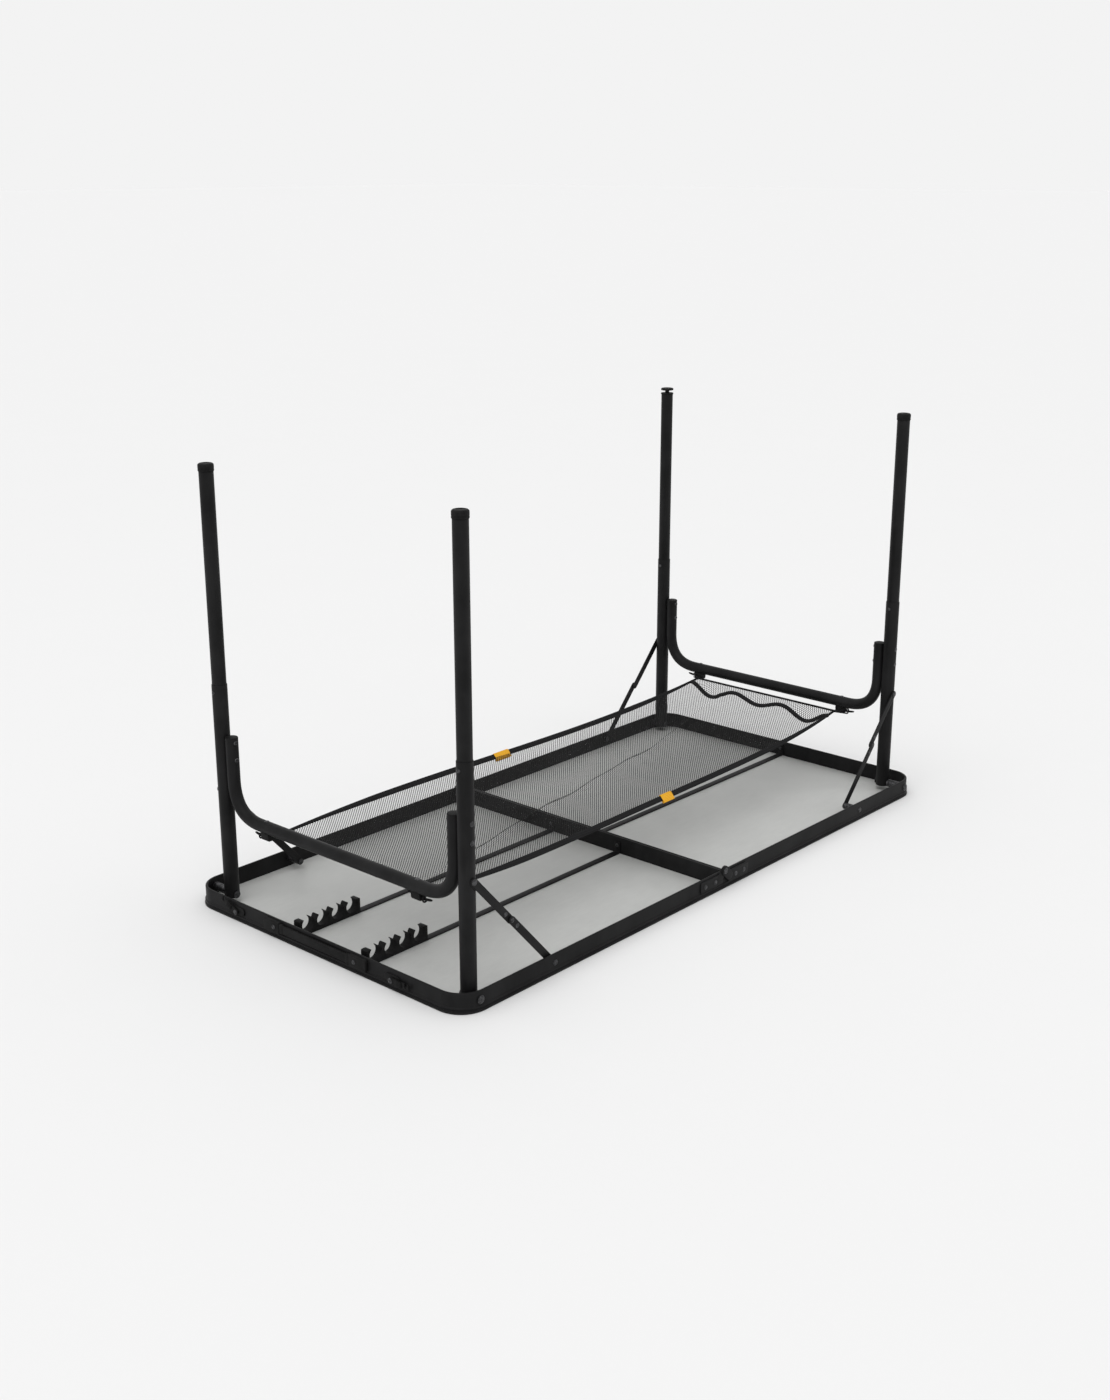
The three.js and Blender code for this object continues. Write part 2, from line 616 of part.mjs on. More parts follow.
// ---------------------------------------------------------------- materials and assembly
const blackPaint = { color: 0x2c2c2e, roughness: 0.42, metalness: 0.5 };
const blackTrim = { color: 0x242426, roughness: 0.5, metalness: 0.3 };
const blackPlastic = { color: 0x1d1d1f, roughness: 0.55, metalness: 0 };
const palePanel = { color: 0xb9babc, roughness: 0.6, metalness: 0 };
const steel = { color: 0x8a8c90, roughness: 0.35, metalness: 0.9 };
const meshFabric = { color: 0x262628, roughness: 0.85, metalness: 0 };

function place(group, name, manifold, finish) {
  const mesh = new THREE.Mesh(geometryOf(manifold), new THREE.MeshStandardMaterial(finish));
  mesh.name = name;
  group.add(mesh);
  return mesh;
}

function addTray(group, half) {
  place(group, `${half}_rim`, rim(), blackTrim);
  place(group, `${half}_centre_rail`, centreRail(), blackTrim);
  place(group, `${half}_panel`, panel(), palePanel);
  for (const [side, y] of Object.entries(STRAPS[half])) {
    place(group, `${half}_strap_${side}`, strap(y), blackPaint);
  }
}

function addLegs(group, half, buttonFacing) {
  place(group, `${half}_brace_tube`, braceTube(), blackPaint);
  for (const side of Object.keys(LEGS)) {
    const name = `${half}_${side}`;
    place(group, `${name}_leg`, leg(side, buttonFacing), blackPaint);
    place(group, `${name}_pivot_pin`, pivotPin(side), steel);
    place(group, `${name}_extension_tube`, extensionTube(side, buttonFacing), blackPaint);
    place(group, `${name}_snap_button`, snapButton(side, buttonFacing), steel);
    place(group, `${name}_upper_link`, upperLink(side), blackPaint);
    place(group, `${name}_lower_link`, lowerLink(side), blackPaint);
    place(group, `${name}_shelf_hook`, shelfHook(LEGS[side].out), blackPlastic);
    if (half === 'far' && side === 'right') {
      place(group, `${name}_foot_cap`, levellingCap(side), blackPlastic);
      place(group, 'levelling_foot', levellingFoot(side), blackPlastic);
    } else {
      place(group, `${name}_foot_cap`, footCap(side), blackPlastic);
    }
  }
}

const table = new THREE.Group();
const nearHalf = new THREE.Group();
const farHalf = new THREE.Group();
farHalf.rotation.z = Math.PI;
table.add(nearHalf, farHalf);

addTray(nearHalf, 'near');
addTray(farHalf, 'far');
addLegs(nearHalf, 'near', -1);
addLegs(farHalf, 'far', 1);
place(nearHalf, 'near_shelf', shelfHalf(), meshFabric);
place(farHalf, 'far_shelf', shelfHalf(), meshFabric);
place(nearHalf, 'rack_left', rack(STRAPS.near.left), blackPlastic);
place(nearHalf, 'rack_right', rack(STRAPS.near.right), blackPlastic);
place(nearHalf, 'carry_handle', carryHandle(), blackPlastic);
for (const [side, out] of [['left', 1], ['right', -1]]) {
  place(nearHalf, `near_hinge_leaf_${side}`, nearLeaf(out), steel);
  place(table, `far_hinge_leaf_${side}`, farLeaf(out), steel);
}
for (const [side, latch] of Object.entries(LATCHES)) {
  place(nearHalf, `latch_base_${side}`, latchBase(latch), blackPlastic);
  const lever = place(nearHalf, `latch_lever_${side}`, latchLever(latch), blackPlastic);
  lever.position.set(0, latch.y, LATCH_PIVOT_Z);
  lever.rotation.x = latch.rest;
  place(table, `latch_keeper_${side}`, keeper(latch), blackPlastic);
}

export default table;
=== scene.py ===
"""Fold-in-half camping table, standing upside down on its tabletop: the looks around its CAD model.

Lengths in this script are in millimetres until place() turns them into metres. A piece that both
halves have is drawn in the near half's place (-X), and place() turns the far half's copy half a
turn about Z. The shelf, the hinge leaves and the keepers are drawn where they are.
"""

import math

import bmesh
import bpy
import numpy as np
from mathutils import Matrix, Vector


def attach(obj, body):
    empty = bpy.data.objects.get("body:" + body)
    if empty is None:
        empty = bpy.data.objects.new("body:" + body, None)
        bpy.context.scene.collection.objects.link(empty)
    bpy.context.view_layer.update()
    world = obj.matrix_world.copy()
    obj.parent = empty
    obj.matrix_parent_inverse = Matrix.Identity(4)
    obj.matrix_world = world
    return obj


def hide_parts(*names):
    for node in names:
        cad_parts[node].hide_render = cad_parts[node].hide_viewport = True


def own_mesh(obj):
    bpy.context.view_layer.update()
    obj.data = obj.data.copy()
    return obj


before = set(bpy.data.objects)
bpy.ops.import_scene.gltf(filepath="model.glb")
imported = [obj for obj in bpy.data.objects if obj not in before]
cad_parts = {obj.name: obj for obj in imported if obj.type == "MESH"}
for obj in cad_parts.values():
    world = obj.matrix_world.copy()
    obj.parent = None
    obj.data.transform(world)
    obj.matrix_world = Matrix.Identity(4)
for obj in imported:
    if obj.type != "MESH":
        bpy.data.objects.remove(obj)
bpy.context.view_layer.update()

# ---------------------------------------------------------------- dimensions, as in the CAD
MM = 0.001
GAP = 0.3
LENGTH = 1200
WIDTH = 600
HEIGHT = 700
RIM_HEIGHT = 31
WALL = 4
TRIM = 2.5
CORNER = 45
HALF_GAP = 0.25
PANEL = 3
WALL_IN = TRIM + WALL
END_FACE = LENGTH / 2 - TRIM
SIDE_FACE = WIDTH / 2 - TRIM
SIDE_INNER = WIDTH / 2 - WALL_IN
HINGE_Z = 31.4

LEG_X = 561
LEG_SHIFT = 12.3
LEG_SPACING = 524
LEG_R = 12
LEG_BORE_R = 11.3
LEG_TOP = 362
PIVOT_Z = 17.3
TUBE_R = 11.1
TUBE_BOTTOM = 345
TUBE_TOP = 688
BUTTON_Z = 350
LEVEL_CAP_TOP = 691

U_R = 10
U_BAR_Z = 153
U_TOP = 282
U_BEND = 60
U_RIVETS = (246, 274)
HOOK_Y = 165
PRONG_Z = U_BAR_Z - U_R - 6.5

LINK_X = 407
LINK_LEG_Z = 190
LINK_T = 1.6
LINK_HALF_WIDTH = 6
STUD_R = 3
UPPER_LINK_OUT = LEG_R + 0.5
STUD_HEAD_OUT = UPPER_LINK_OUT + LINK_T + GAP
LOWER_LINK_OUT = STUD_HEAD_OUT + 1.5

STRAPS = {"near": {"left": 70, "right": -80}, "far": {"middle": 0}}
STRAP_WIDTH = 12
STRAP_T = 2
STRAP_TAB = 20            # the ends of a strap turn up this far against the rim and the rail
STRAP_BEND = 3

# Each leg's line across the table, and which way is outward from it.
LEGS = {
    "right": (-LEG_SPACING / 2 - LEG_SHIFT, -1),
    "left": (LEG_SPACING / 2 - LEG_SHIFT, 1),
}
HALVES = ("near", "far")


# ---------------------------------------------------------------- materials
class Nodes:
    """A material's node tree, with short ways to add the nodes used here."""

    def __init__(self, name):
        self.material = bpy.data.materials.new(name)
        self.material.use_nodes = True
        self.tree = self.material.node_tree
        self.shader = self.tree.nodes["Principled BSDF"]
        self.object_coords = None

    def add(self, kind, inputs=(), **settings):
        node = self.tree.nodes.new(kind)
        for key, value in settings.items():
            setattr(node, key, value)
        for key, value in dict(inputs).items():
            self.set(node, key, value)
        return node

    def set(self, node, key, value):
        if isinstance(value, bpy.types.NodeSocket):
            self.tree.links.new(value, node.inputs[key])
        else:
            node.inputs[key].default_value = value

    def coords(self):
        if self.object_coords is None:
            self.object_coords = self.add("ShaderNodeTexCoord").outputs["Object"]
        return self.object_coords

    def noise(self, scale, detail=3.0, roughness=0.55, stretch=None):
        vector = self.coords()
        if stretch is not None:
            vector = self.add("ShaderNodeMapping", {"Vector": vector, "Scale": stretch}).outputs[0]
        inputs = {"Vector": vector, "Scale": scale, "Detail": detail, "Roughness": roughness}
        return self.add("ShaderNodeTexNoise", inputs).outputs["Fac"]

    def spread(self, value, low, high, to_low, to_high):
        inputs = {
            "Value": value, "From Min": low, "From Max": high, "To Min": to_low, "To Max": to_high,
        }
        return self.add("ShaderNodeMapRange", inputs).outputs["Result"]

    def blend(self, factor, dark, light):
        mix = self.add("ShaderNodeMix", data_type="RGBA")
        self.set(mix, 0, factor)
        self.set(mix, 6, (*dark, 1))
        self.set(mix, 7, (*light, 1))
        return mix.outputs[2]

    def math(self, operation, a, b=None):
        node = self.add("ShaderNodeMath", operation=operation)
        self.set(node, 0, a)
        if b is not None:
            self.set(node, 1, b)
        return node.outputs[0]

    def vector_math(self, operation, a, b=None):
        node = self.add("ShaderNodeVectorMath", operation=operation)
        self.set(node, 0, a)
        if b is not None:
            self.set(node, 1, b)
        return node.outputs["Value" if operation == "LENGTH" else "Vector"]

    def bump(self, height, strength, distance, under=None):
        inputs = {"Height": height, "Strength": strength, "Distance": distance}
        node = self.add("ShaderNodeBump", inputs)
        if under is not None:
            self.set(node, "Normal", under)
        return node.outputs["Normal"]


def coated_metal(name, dark, light, rough_low, rough_high, grain_scale, grain):
    """A satin powder coat: slow drifts of shade, a fine pebbled skin and faint handling marks."""
    n = Nodes(name)
    drift = n.noise(14, 4)
    marks = n.noise(55, 6, 0.7, (1, 1, 0.25))
    shade = n.math("MULTIPLY", drift, n.spread(marks, 0.35, 0.7, 0.75, 1.15))
    n.set(n.shader, "Base Color", n.blend(n.spread(shade, 0.3, 0.62, 0, 1), dark, light))
    n.set(n.shader, "Roughness", n.spread(marks, 0.3, 0.7, rough_low, rough_high))
    pebble = n.noise(grain_scale, 2, 0.5)
    waves = n.noise(90, 2)
    n.set(n.shader, "Normal", n.bump(pebble, grain, 0.0004, n.bump(waves, 0.06, 0.002)))
    n.shader.inputs["Specular IOR Level"].default_value = 0.11
    return n.material


def moulded_plastic():
    """Matt black nylon with a spark-eroded texture and paler scuffs."""
    n = Nodes("black_moulded_plastic")
    scuff = n.noise(70, 6, 0.72)
    shade = n.spread(scuff, 0.42, 0.75, 0, 1)
    n.set(n.shader, "Base Color", n.blend(shade, (0.006,) * 3, (0.016,) * 3))
    n.set(n.shader, "Roughness", n.spread(scuff, 0.3, 0.7, 0.5, 0.66))
    n.set(n.shader, "Normal", n.bump(n.noise(2600, 2), 0.35, 0.0002))
    n.shader.inputs["Specular IOR Level"].default_value = 0.1
    return n.material


def pale_board():
    """The underside of the tabletop: a light grey coated board with a fine, faint grain."""
    n = Nodes("pale_grey_board")
    cloud = n.noise(5, 5, 0.6)
    fibre = n.noise(160, 4, 0.6, (0.25, 1, 1))
    fine = n.noise(1500, 2, 0.5)
    shade = n.math("ADD", n.math("MULTIPLY", cloud, 0.6), n.math("MULTIPLY", fibre, 0.4))
    tone = n.spread(shade, 0.35, 0.65, 0, 1)
    n.set(n.shader, "Base Color", n.blend(tone, (0.45, 0.455, 0.444), (0.515, 0.52, 0.506)))
    n.set(n.shader, "Roughness", n.spread(fibre, 0.3, 0.7, 0.42, 0.56))
    n.set(n.shader, "Normal", n.bump(fine, 0.12, 0.0002, n.bump(fibre, 0.08, 0.0003)))
    return n.material


def dark_steel():
    """Blackened steel of the rivets, pins and hinge leaves, rubbed brighter in places."""
    n = Nodes("blackened_steel")
    rub = n.noise(260, 5, 0.7)
    tone = n.spread(rub, 0.4, 0.72, 0, 1)
    n.set(n.shader, "Base Color", n.blend(tone, (0.02, 0.02, 0.021), (0.11, 0.11, 0.115)))
    n.set(n.shader, "Roughness", n.spread(rub, 0.3, 0.7, 0.48, 0.3))
    n.set(n.shader, "Normal", n.bump(n.noise(900, 3), 0.12, 0.0003))
    n.shader.inputs["Metallic"].default_value = 0.75
    return n.material


NET_CELL = (5.2, 4.4)     # pitch of the holes along and across the shelf
NET_HOLE = 0.295          # hole radius, as a share of the pitch


def net_cloth():
    """Knitted net: two staggered rows of round holes, cut out with alpha, in twisted black yarn."""
    n = Nodes("black_net")
    uv = n.add("ShaderNodeUVMap", uv_map="UVMap").outputs["UV"]
    cells = n.vector_math("MULTIPLY", uv, (1 / (NET_CELL[0] * MM), 1 / (NET_CELL[1] * MM), 0))
    centred = []
    for shift in (0.0, 0.5):
        moved = n.vector_math("ADD", cells, (shift, shift, 0))
        inside = n.vector_math("SUBTRACT", n.vector_math("FRACTION", moved), (0.5, 0.5, 0))
        centred.append(n.vector_math("LENGTH", inside))
    nearest = n.math("MINIMUM", *centred)
    n.set(n.shader, "Alpha", n.spread(nearest, NET_HOLE - 0.03, NET_HOLE + 0.03, 0, 1))
    twist = n.noise(900, 3, 0.6, (1, 2.5, 1))
    n.set(n.shader, "Base Color", n.blend(n.spread(twist, 0.3, 0.7, 0, 1), (0.004,) * 3, (0.014,) * 3))
    n.set(n.shader, "Normal", n.bump(nearest, 0.5, 0.0006, n.bump(twist, 0.4, 0.0003)))
    n.shader.inputs["Roughness"].default_value = 0.85
    n.shader.inputs["Specular IOR Level"].default_value = 0.2
    return n.material


def webbing(name, dark, light, pitch):
    """Woven tape: ribs across two ways, with yarn-scale variation."""
    n = Nodes(name)
    waves = []
    for direction in ("X", "Y"):
        wave = n.add("ShaderNodeTexWave", {"Vector": n.coords(), "Scale": 1000 / pitch / 6.283},
                     wave_type="BANDS", bands_direction=direction, wave_profile="SIN")
        waves.append(wave.outputs["Fac"])
    weave = n.math("MULTIPLY", *waves)
    yarn = n.noise(700, 4, 0.65)
    shade = n.math("ADD", n.math("MULTIPLY", weave, 0.5), n.math("MULTIPLY", yarn, 0.5))
    n.set(n.shader, "Base Color", n.blend(n.spread(shade, 0.15, 0.7, 0, 1), dark, light))
    n.set(n.shader, "Normal", n.bump(weave, 0.5, 0.0004, n.bump(yarn, 0.3, 0.0003)))
    n.shader.inputs["Roughness"].default_value = 0.85
    n.shader.inputs["Specular IOR Level"].default_value = 0.2
    return n.material


def pale_floor():
    n = Nodes("pale_floor")
    n.set(n.shader, "Base Color", n.blend(n.noise(3, 2), (0.806,) * 3, (0.812,) * 3))
    n.shader.inputs["Roughness"].default_value = 0.9
    n.shader.inputs["Specular IOR Level"].default_value = 0.1
    return n.material


COAT_DARK = (0.006, 0.006, 0.0062)
TUBE = coated_metal("black_powder_coat", COAT_DARK, (0.013, 0.013, 0.0134), 0.4, 0.54, 1300, 0.18)
RIM = coated_metal("black_coated_rim", COAT_DARK, (0.012, 0.012, 0.0124), 0.4, 0.52, 1700, 0.06)
PLASTIC = moulded_plastic()
BOARD = pale_board()
STEEL = dark_steel()
NET = net_cloth()
TAPE = webbing("black_tape", (0.004, 0.004, 0.0042), (0.014, 0.014, 0.015), 1.2)
TAG = webbing("orange_tag", (0.62, 0.29, 0.015), (0.86, 0.47, 0.04), 0.8)


# ---------------------------------------------------------------- shapes: (points, faces)
def joined(*shapes):
    points = []
    faces = []
    for shape_points, shape_faces in shapes:
        start = len(points)
        points.extend(shape_points)
        faces.extend([tuple(start + i for i in face) for face in shape_faces])
    return points, faces


def mapped(shape, function):
    return [function(*p) for p in shape[0]], shape[1]


def lathe(profile, axis, origin, sides=48, closed=False):
    """A turned shape: profile points are (radius, height along the axis from the origin)."""
    points = []
    faces = []
    rings = []
    for radius, height in profile:
        if radius < 1e-6:
            rings.append([len(points)])
            points.append((0, 0, height))
            continue
        rings.append(list(range(len(points), len(points) + sides)))
        for i in range(sides):
            angle = 2 * math.pi * i / sides
            points.append((radius * math.cos(angle), radius * math.sin(angle), height))
    pairs = list(zip(rings, rings[1:]))
    if closed:
        pairs.append((rings[-1], rings[0]))
    for low, high in pairs:
        for i in range(sides):
            j = (i + 1) % sides
            if len(low) == 1 and len(high) > 1:
                faces.append((low[0], high[j], high[i]))
            elif len(high) == 1 and len(low) > 1:
                faces.append((low[i], low[j], high[0]))
            elif len(low) > 1:
                faces.append((low[i], low[j], high[j], high[i]))
    ox, oy, oz = origin
    turns = {
        "Z": lambda x, y, z: (ox + x, oy + y, oz + z),
        "X": lambda x, y, z: (ox + z, oy + x, oz + y),
        "-X": lambda x, y, z: (ox - z, oy - x, oz + y),
        "Y": lambda x, y, z: (ox + y, oy + z, oz + x),
        "-Y": lambda x, y, z: (ox - y, oy - z, oz + x),
    }
    return mapped((points, faces), turns[axis])


def grid(rows, wrap_rows=False, wrap_columns=False, caps=False):
    """Faces over rows of points, each row the same length."""
    columns = len(rows[0])
    points = [p for row in rows for p in row]
    faces = []
    for r in range(len(rows) - (0 if wrap_rows else 1)):
        for c in range(columns - (0 if wrap_columns else 1)):
            r1 = (r + 1) % len(rows)
            c1 = (c + 1) % columns
            faces.append((r * columns + c, r * columns + c1, r1 * columns + c1, r1 * columns + c))
    if caps:
        faces.append(tuple(range(columns - 1, -1, -1)))
        faces.append(tuple((len(rows) - 1) * columns + c for c in range(columns)))
    return points, faces


def swept(path, section, side=(0, 0, 1), scales=None, loop=False):
    """A section of (sideways, up) points along a path. side is a direction across the path."""
    path = np.array(path, float)
    rows = []
    up = np.array(side, float)
    for i, point in enumerate(path):
        ahead = path[(i + 1) % len(path)] if loop else path[min(i + 1, len(path) - 1)]
        behind = path[i - 1] if loop or i else path[0]
        tangent = ahead - behind
        tangent /= np.linalg.norm(tangent)
        up = up - (up @ tangent) * tangent
        up /= np.linalg.norm(up)
        across = np.cross(up, tangent)
        scale = 1 if scales is None else scales[i]
        rows.append([tuple(point + scale * (a * across + b * up)) for a, b in section])
    return grid(rows, wrap_rows=loop, wrap_columns=True, caps=not loop)


def ring(radius, sides, squash=1.0):
    """A round or flattened section for swept()."""
    angles = [2 * math.pi * i / sides for i in range(sides)]
    return [(radius * math.cos(a), radius * squash * math.sin(a)) for a in angles]


def rounded_bar(width, thickness, r=0.5):
    """A flat bar's section, with rounded corners."""
    section = []
    for cx, cy, start in ((1, 1, 0), (-1, 1, 90), (-1, -1, 180), (1, -1, 270)):
        for step in (0, 45, 90):
            angle = math.radians(start + step)
            x = cx * (width / 2 - r) + r * math.cos(angle)
            y = cy * (thickness / 2 - r) + r * math.sin(angle)
            section.append((x, y))
    return section


def arc(cx, cy, r, start, end, steps=12):
    """Points on an arc, with the angles in degrees."""
    angles = [math.radians(start + (end - start) * i / steps) for i in range(steps + 1)]
    return [(cx + r * math.cos(a), cy + r * math.sin(a)) for a in angles]


def slot_outline(ax, ay, bx, by, r, steps=14):
    angle = math.degrees(math.atan2(by - ay, bx - ax))
    return arc(ax, ay, r, angle + 90, angle + 270, steps) + arc(bx, by, r, angle - 90, angle + 90, steps)


def box_outline(x0, y0, x1, y1, r=1.0):
    return (arc(x1 - r, y1 - r, r, 0, 90, 4) + arc(x0 + r, y1 - r, r, 90, 180, 4)
            + arc(x0 + r, y0 + r, r, 180, 270, 4) + arc(x1 - r, y0 + r, r, 270, 360, 4))


def plate(plane, outline, low, high, bevel=0.4, holes=()):
    """A flat shape with rounded edges, filled from its outline and holes, from low to high."""
    curve = bpy.data.curves.new("outline", "CURVE")
    curve.dimensions = "2D"
    curve.fill_mode = "BOTH"
    curve.extrude = (high - low) / 2 - bevel
    curve.bevel_depth = bevel
    curve.bevel_resolution = 2
    curve.offset = -bevel
    for loop in (outline, *holes):
        spline = curve.splines.new("POLY")
        spline.points.add(len(loop) - 1)
        for target, (x, y) in zip(spline.points, loop):
            target.co = (x, y, 0, 1)
        spline.use_cyclic_u = True
    obj = bpy.data.objects.new("outline", curve)
    bpy.context.scene.collection.objects.link(obj)
    mesh = bpy.data.meshes.new_from_object(obj.evaluated_get(bpy.context.evaluated_depsgraph_get()))
    points = [tuple(v.co) for v in mesh.vertices]
    faces = [tuple(p.vertices) for p in mesh.polygons]
    bpy.data.objects.remove(obj)
    bpy.data.curves.remove(curve)
    bpy.data.meshes.remove(mesh)
    middle = (low + high) / 2
    planes = {
        "XY": lambda x, y, z: (x, y, middle + z),
        "XZ": lambda x, y, z: (x, middle + z, y),
        "YZ": lambda x, y, z: (middle + z, x, y),
    }
    return mapped((points, faces), planes[plane])


def domed_head(r, height, steps=6):
    """Profile of a rivet head that stands height proud, from its rim to its crown."""
    profile = [(r, -0.4), (r, height * 0.25)]
    for i in range(1, steps + 1):
        angle = math.radians(90 * i / steps)
        profile.append((r * math.cos(angle), height * (0.25 + 0.75 * math.sin(angle))))
    return profile[:-1] + [(0, height)]


def tubular_head(r, height):
    """A rivet head with a rolled edge and a hollow middle."""
    return [
        (r, -0.4), (r, height * 0.3), (r * 0.9, height * 0.8), (r * 0.7, height),
        (r * 0.52, height * 0.9), (r * 0.42, height * 0.35), (0, height * 0.25),
    ]


# ---------------------------------------------------------------- placing
def place(name, shape, look, body, half="near", node=None, sharp=35):
    """Makes one piece in metres that rides on a body, and stands for its CAD node if it has one."""
    turn = -1 if half == "far" else 1
    mesh = bpy.data.meshes.new(name)
    points = [(turn * x * MM, turn * y * MM, z * MM) for x, y, z in shape[0]]
    mesh.from_pydata(points, [], shape[1])
    work = bmesh.new()
    work.from_mesh(mesh)
    bmesh.ops.remove_doubles(work, verts=work.verts, dist=2e-6)
    bmesh.ops.recalc_face_normals(work, faces=work.faces)
    work.to_mesh(mesh)
    work.free()
    mesh.shade_smooth()
    mesh.set_sharp_from_angle(angle=math.radians(sharp))
    mesh.materials.append(look)
    obj = bpy.data.objects.new(name, mesh)
    bpy.context.scene.collection.objects.link(obj)
    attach(obj, body)
    if node is not None:
        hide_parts(*([node] if isinstance(node, str) else node))
    return obj


# ---------------------------------------------------------------- trays
def rim_stations(steps=18):
    """Anchor points a corner radius inside the outer box, with their outward directions."""
    x = -LENGTH / 2 + CORNER
    y = WIDTH / 2 - CORNER
    stations = [((-HALF_GAP, -y), 270)]
    stations += [((x, -y), 270 - 90 * i / steps) for i in range(steps + 1)]
    stations += [((x, y), 180 - 90 * i / steps) for i in range(steps + 1)]
    stations.append(((-HALF_GAP, y), 90))
    return stations


RIM_SECTION = [
    # (inset from the outer box, height): the foot and the lower trim ridge
    (6.5, 0), (0.9, 0), (0.3, 0.25), (0.05, 0.8), (0.05, 2.2), (0.3, 2.8), (0.9, 3.1), (1.9, 3.25),
    # the groove and the upper trim ridge
    (2.4, 3.7), (2.5, 4.4), (2.5, 5.2), (2.3, 5.8), (1.5, 6.1), (1.0, 6.4), (0.8, 6.9), (0.8, 8.1),
    (1.0, 8.6), (1.6, 8.9), (2.3, 9.2), (2.5, 9.8),
    # the wall and its rounded top
    (2.5, 29.4), (2.7, 30.2), (3.2, 30.8), (3.9, 31), (5.2, 31), (5.9, 30.8), (6.35, 30.2), (6.5, 29.4),
]


def rim(half):
    rows = []
    for (ax, ay), angle in rim_stations():
        nx = math.cos(math.radians(angle))
        ny = math.sin(math.radians(angle))
        row = []
        for inset, z in RIM_SECTION:
            row.append((ax + nx * (CORNER - inset), ay + ny * (CORNER - inset), z))
        rows.append(row)
    shape = grid(rows, wrap_columns=True, caps=True)
    place(f"{half}_rim_profile", shape, RIM, f"{half}_half", half, f"{half}_rim", sharp=50)


def rim_studs(half):
    """The riveted studs that the lower brace links turn on, with their heads outside the rim."""
    for side, (y, out) in LEGS.items():
        axis = "Y" if out > 0 else "-Y"
        line = abs(y)
        inner = lathe([
            (0, line + STUD_HEAD_OUT - 0.1), (3.6, line + STUD_HEAD_OUT), (5, line + STUD_HEAD_OUT + 0.4),
            (5, line + STUD_HEAD_OUT + 1), (STUD_R, line + STUD_HEAD_OUT + 1),
            (STUD_R, line + LOWER_LINK_OUT + LINK_T + GAP), (6, line + LOWER_LINK_OUT + LINK_T + GAP),
            (6, SIDE_INNER + 0.5),
        ], axis, (-LINK_X, 0, PIVOT_Z), 32)
        head = lathe(domed_head(4.6, 1.7), axis, (-LINK_X, out * SIDE_FACE, PIVOT_Z), 32)
        place(f"{half}_brace_stud_{side}", joined(inner, head), STEEL, f"{half}_half", half)


def pivot_pin(half, side):
    y, out = LEGS[side]
    line = abs(y)
    axis = "Y" if out > 0 else "-Y"
    shape = lathe([
        (0, line - LEG_R - 2), (4.4, line - LEG_R - 1.9), (6, line - LEG_R - 1.1), (6, line - LEG_R - GAP),
        (4, line - LEG_R - GAP), (4, line + LEG_R + GAP), (7, line + LEG_R + GAP), (7, SIDE_INNER - 3.2),
        (4, SIDE_INNER - 3.2), (4, SIDE_FACE + GAP), (6.2, SIDE_FACE + GAP), (6.6, SIDE_FACE + 0.7),
        (5.6, SIDE_FACE + 1.6), (3.2, SIDE_FACE + 2.15), (2.4, SIDE_FACE + 1.5), (0, SIDE_FACE + 1.5),
    ], axis, (-LEG_X, 0, PIVOT_Z), 40)
    name = f"{half}_{side}_pivot_pin"
    place(f"{name}_turned", shape, STEEL, f"{half}_half", half, name)


def centre_rail(half):
    y = SIDE_INNER - GAP
    outline = box_outline(-y, 0, y, RIM_HEIGHT, 0.6)
    body = plate("YZ", outline, -HALF_GAP - WALL, -HALF_GAP, 0.7)
    place(f"{half}_centre_rail_bar", body, RIM, f"{half}_half", half, f"{half}_centre_rail")


def panel(half):
    x = -LENGTH / 2 + CORNER
    y = WIDTH / 2 - CORNER
    r = CORNER - WALL_IN - GAP
    right = -HALF_GAP - WALL - GAP
    outline = [(right, -y - r), (right, y + r)] + arc(x, y, r, 90, 180) + arc(x, -y, r, 180, 270)
    shape = plate("XY", outline, 0, PANEL, 0.3)
    place(f"{half}_panel_board", shape, BOARD, f"{half}_half", half, f"{half}_panel")


def strap(half, side, y):
    x0 = -LENGTH / 2 + WALL_IN + GAP + STRAP_T / 2
    x1 = -HALF_GAP - WALL - GAP - STRAP_T / 2
    z0 = PANEL + GAP + STRAP_T / 2
    top = PANEL + GAP + STRAP_TAB
    bend = STRAP_BEND
    path = [(x0, top), (x0, z0 + bend)] + arc(x0 + bend, z0 + bend, bend, 180, 270, 6)[1:]
    path += arc(x1 - bend, z0 + bend, bend, 270, 360, 6) + [(x1, top)]
    bar = swept([(x, y, z) for x, z in path], rounded_bar(STRAP_WIDTH, STRAP_T, 0.45), side=(1, 0, 0))
    node = f"{half}_strap_{side}"
    place(f"{node}_bar", bar, TUBE, f"{half}_half", half, node)
    first = lathe(domed_head(3.2, 1.2), "X", (x0 + STRAP_T / 2, y, top - 6), 28)
    last = lathe(domed_head(3.2, 1.2), "-X", (x1 - STRAP_T / 2, y, top - 6), 28)
    place(f"{node}_rivets", joined(first, last), STEEL, f"{half}_half", half)


# ---------------------------------------------------------------- storage racks
RACK_PITCH = 29.5
RACK_CRADLES = 4
RACK_WIDTH = 14
RACK_R = 11.6
RACK_X0 = -578
RACK_FLOOR = PANEL + STRAP_T + 2 * GAP
RACK_TUBE_Z = RACK_FLOOR + 3.5 + RACK_R
RACK_TOP = RACK_TUBE_Z + 8.5
RACK_NOTCH = 7.4          # depth of the notch between the horns of two neighbours


